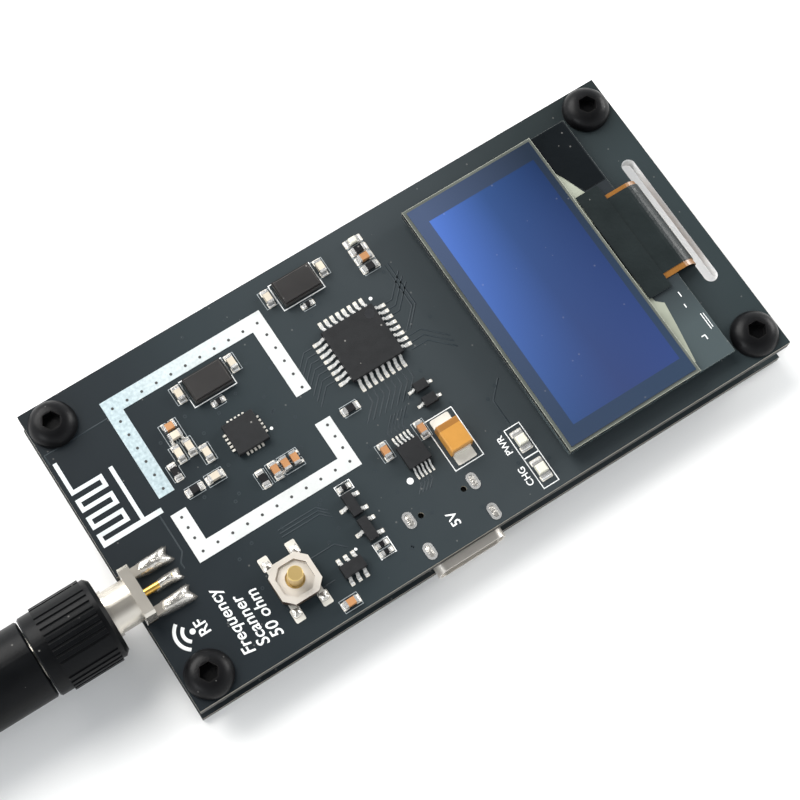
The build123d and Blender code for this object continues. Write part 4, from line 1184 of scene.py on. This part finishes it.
thin_ink = finish("thin_ink", (0.30, 0.33, 0.34), 0.6, wear=0.0)
OUTLINE_WIDTH = 0.10
outlines = chip_outlines("capacitor_ends", margin=0.34)
outlines += chip_outlines("resistor_ends", margin=0.26)
settle(printed_lines("chip_outlines", outlines, OUTLINE_WIDTH, INK_HEIGHT, thin_ink))

# %% Fillets and pads at the chip ends
PAD_HEIGHT = 0.03
FILLET_LOW = 0.02
FILLET_REACH = 0.30
FILLET_RISE = 0.62
PAD_TUCK = 0.12
PAD_EXTRA = 0.42
fillets = []
pads = []
for node in ("capacitor_ends", "resistor_ends", "led_ends"):
    boxes = loose_boxes(node)
    for end_box in boxes:
        turn = outward(end_box, boxes)
        size = end_box[1] - end_box[0]
        across, along = (size.x, size.y) if turn in (90, 270) else (size.y, size.x)
        width = across / MM
        toe = middle_of(end_box) + heading(turn) * (along / 2)
        inner = toe + heading(turn) * (FILLET_REACH / 2 - PAD_TUCK) * MM
        fillets.append((*place_of(toe), FILLET_LOW, turn,
                        (FILLET_REACH, width * 1.02, size.z / MM * FILLET_RISE)))
        pads.append((*place_of(inner), 0.0, turn,
                     (FILLET_REACH + PAD_EXTRA, width * 1.16, PAD_HEIGHT)))
settle(place_pieces("chip_fillets", fillet_shape(), fillets, solder))
settle(place_pieces("chip_pads", pad_shape(), pads, pad_tin))

# %% [markdown]
# ## Lead pads
# Each gull-wing foot stands on a pad that shows past its toe. Every loose part of a node of leads
# is one lead, so the pads are sized and placed from the leads' own boxes.

# %% Pads under the leads
GROUP_REACH = 7.5 * MM
HEEL = 0.35
lead_pads = []
toe_fillets = []
for node, toe in (("processor_leads", 0.45), ("bridge_leads", 0.40), ("diode_leads", 0.35),
                  ("transistor_leads", 0.35), ("regulator_leads", 0.35)):
    boxes = loose_boxes(node)
    for foot in boxes:
        size = foot[1] - foot[0]
        middle = middle_of(foot)
        near = [middle_of(box) for box in boxes if (middle_of(box) - middle).length < GROUP_REACH]
        turn = turn_of(middle - sum(near, Vector()) / len(near), size.x > size.y)
        along, across = (size.x, size.y) if size.x > size.y else (size.y, size.x)
        width = across / MM
        toe_point = middle + heading(turn) * along / 2
        pad_middle = toe_point + heading(turn) * (toe - HEEL) / 2 * MM
        lead_pads.append((*place_of(pad_middle), 0.0, turn,
                          (toe + HEEL, width * 1.25, PAD_HEIGHT)))
        toe_fillets.append((*place_of(toe_point), FILLET_LOW, turn, (0.22, width * 1.05, 0.13)))
settle(place_pieces("lead_pads", pad_shape(), lead_pads, pad_tin))
settle(place_pieces("lead_fillets", fillet_shape(3), toe_fillets, solder))

# %% Single pads
wide_pads = [
    (left, top, 0.0, 0, (length, width, PAD_HEIGHT)) for left, top, length, width in (
        (40.6, 26.35, 2.5, 1.3), (40.6, 31.2, 2.5, 1.4), (14.75, 29.8, 1.25, 1.7),
        (18.35, 29.8, 1.25, 1.7), (14.75, 36.6, 1.25, 1.7), (18.35, 36.6, 1.25, 1.7))]
settle(place_pieces("wide_pads", pad_shape(), wide_pads, pad_tin))

# %% [markdown]
# ## Hand-soldered joints
# The connector's legs and pin, the switch's tabs and the socket's legs are soldered with more
# metal. A mound is a dome on an oval base whose flanks are hollow, lumpy in a fixed random way.

# %% Mounds
LUMPS = ((0.05, 3), (0.04, 5))
SQUARENESS = 0.55
CROWN_ROUNDNESS = 0.9
HORN_SHARPNESS = 6


def add_mound(shape, left, top, length, width, height, low=0.0, horns=0.0, fullness=1.5, rings=7,
              sides=28):
    """Solder mound on an oval base. Fuller ones rise sooner, and horns widen its +X corners."""
    foot = Matrix.Translation(on_board(left, top, low))
    loops = []
    for ring in range(rings):
        share = 1 - ring / rings
        rise = (1 - share ** fullness) ** CROWN_ROUNDNESS
        loop = []
        for step in range(sides):
            angle = 2 * math.pi * step / sides
            wobble = 1
            for (depth, waves_round), start in zip(LUMPS, (left, top)):
                wobble += depth * math.sin(waves_round * angle + start)
            square = 1.0 / max(abs(math.cos(angle)), abs(math.sin(angle))) ** SQUARENESS
            if math.cos(angle) > 0:
                square += horns * share ** 3 * abs(math.sin(2 * angle)) ** HORN_SHARPNESS
            x = length / 2 * share * wobble * square * math.cos(angle)
            y = width / 2 * share * wobble * square * math.sin(angle)
            loop.append(shape.verts.new(foot @ Vector((x * MM, y * MM, height * rise * MM))))
        loops.append(loop)
    tip = shape.verts.new(foot @ Vector((0, 0, height * MM)))
    for near, far in zip(loops, loops[1:]):
        join_loops(shape, near, far)
    for step in range(sides):
        shape.faces.new((loops[-1][step], loops[-1][(step + 1) % sides], tip))
    shape.faces.new(list(reversed(loops[0])))


joints = bmesh.new()
connector_top = place_of(middle_of(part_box("connector_body")))[1]
LEG_OFFSET = 2.55
for side in (-1, 1):
    add_mound(joints, 3.98, connector_top + side * LEG_OFFSET, length=4.5, width=1.9, height=1.24,
              horns=0.30, fullness=3.6)
add_mound(joints, 4.45, connector_top, length=3.7, width=1.4, height=1.08, horns=0.25,
          fullness=2.2)
for left in (14.75, 18.35):
    for top in (30.1, 36.3):
        add_mound(joints, left, top, length=1.15, width=1.3, height=0.36)
SOCKET_LEGS = [(left, top) for left in (31.08, 39.72) for top in (34.2, 38.4)]
for left, top in SOCKET_LEGS:
    add_mound(joints, left, top, length=0.9, width=1.75, height=0.10, low=-0.03)
hand_joints = shape_to_piece("hand_joints", joints, rough_solder)
settle(hand_joints)
for polygon in hand_joints.data.polygons:
    polygon.use_smooth = True

# %% Rings round the socket's legs
leg_ring = ring_shape(length=2.1, width=1.25, wall=0.30, height=0.06, sides=28)
leg_places = [(*place, 0.0, 0, (1, 1, 1)) for place in SOCKET_LEGS]
settle(place_pieces("leg_rings", leg_ring, leg_places, solder))
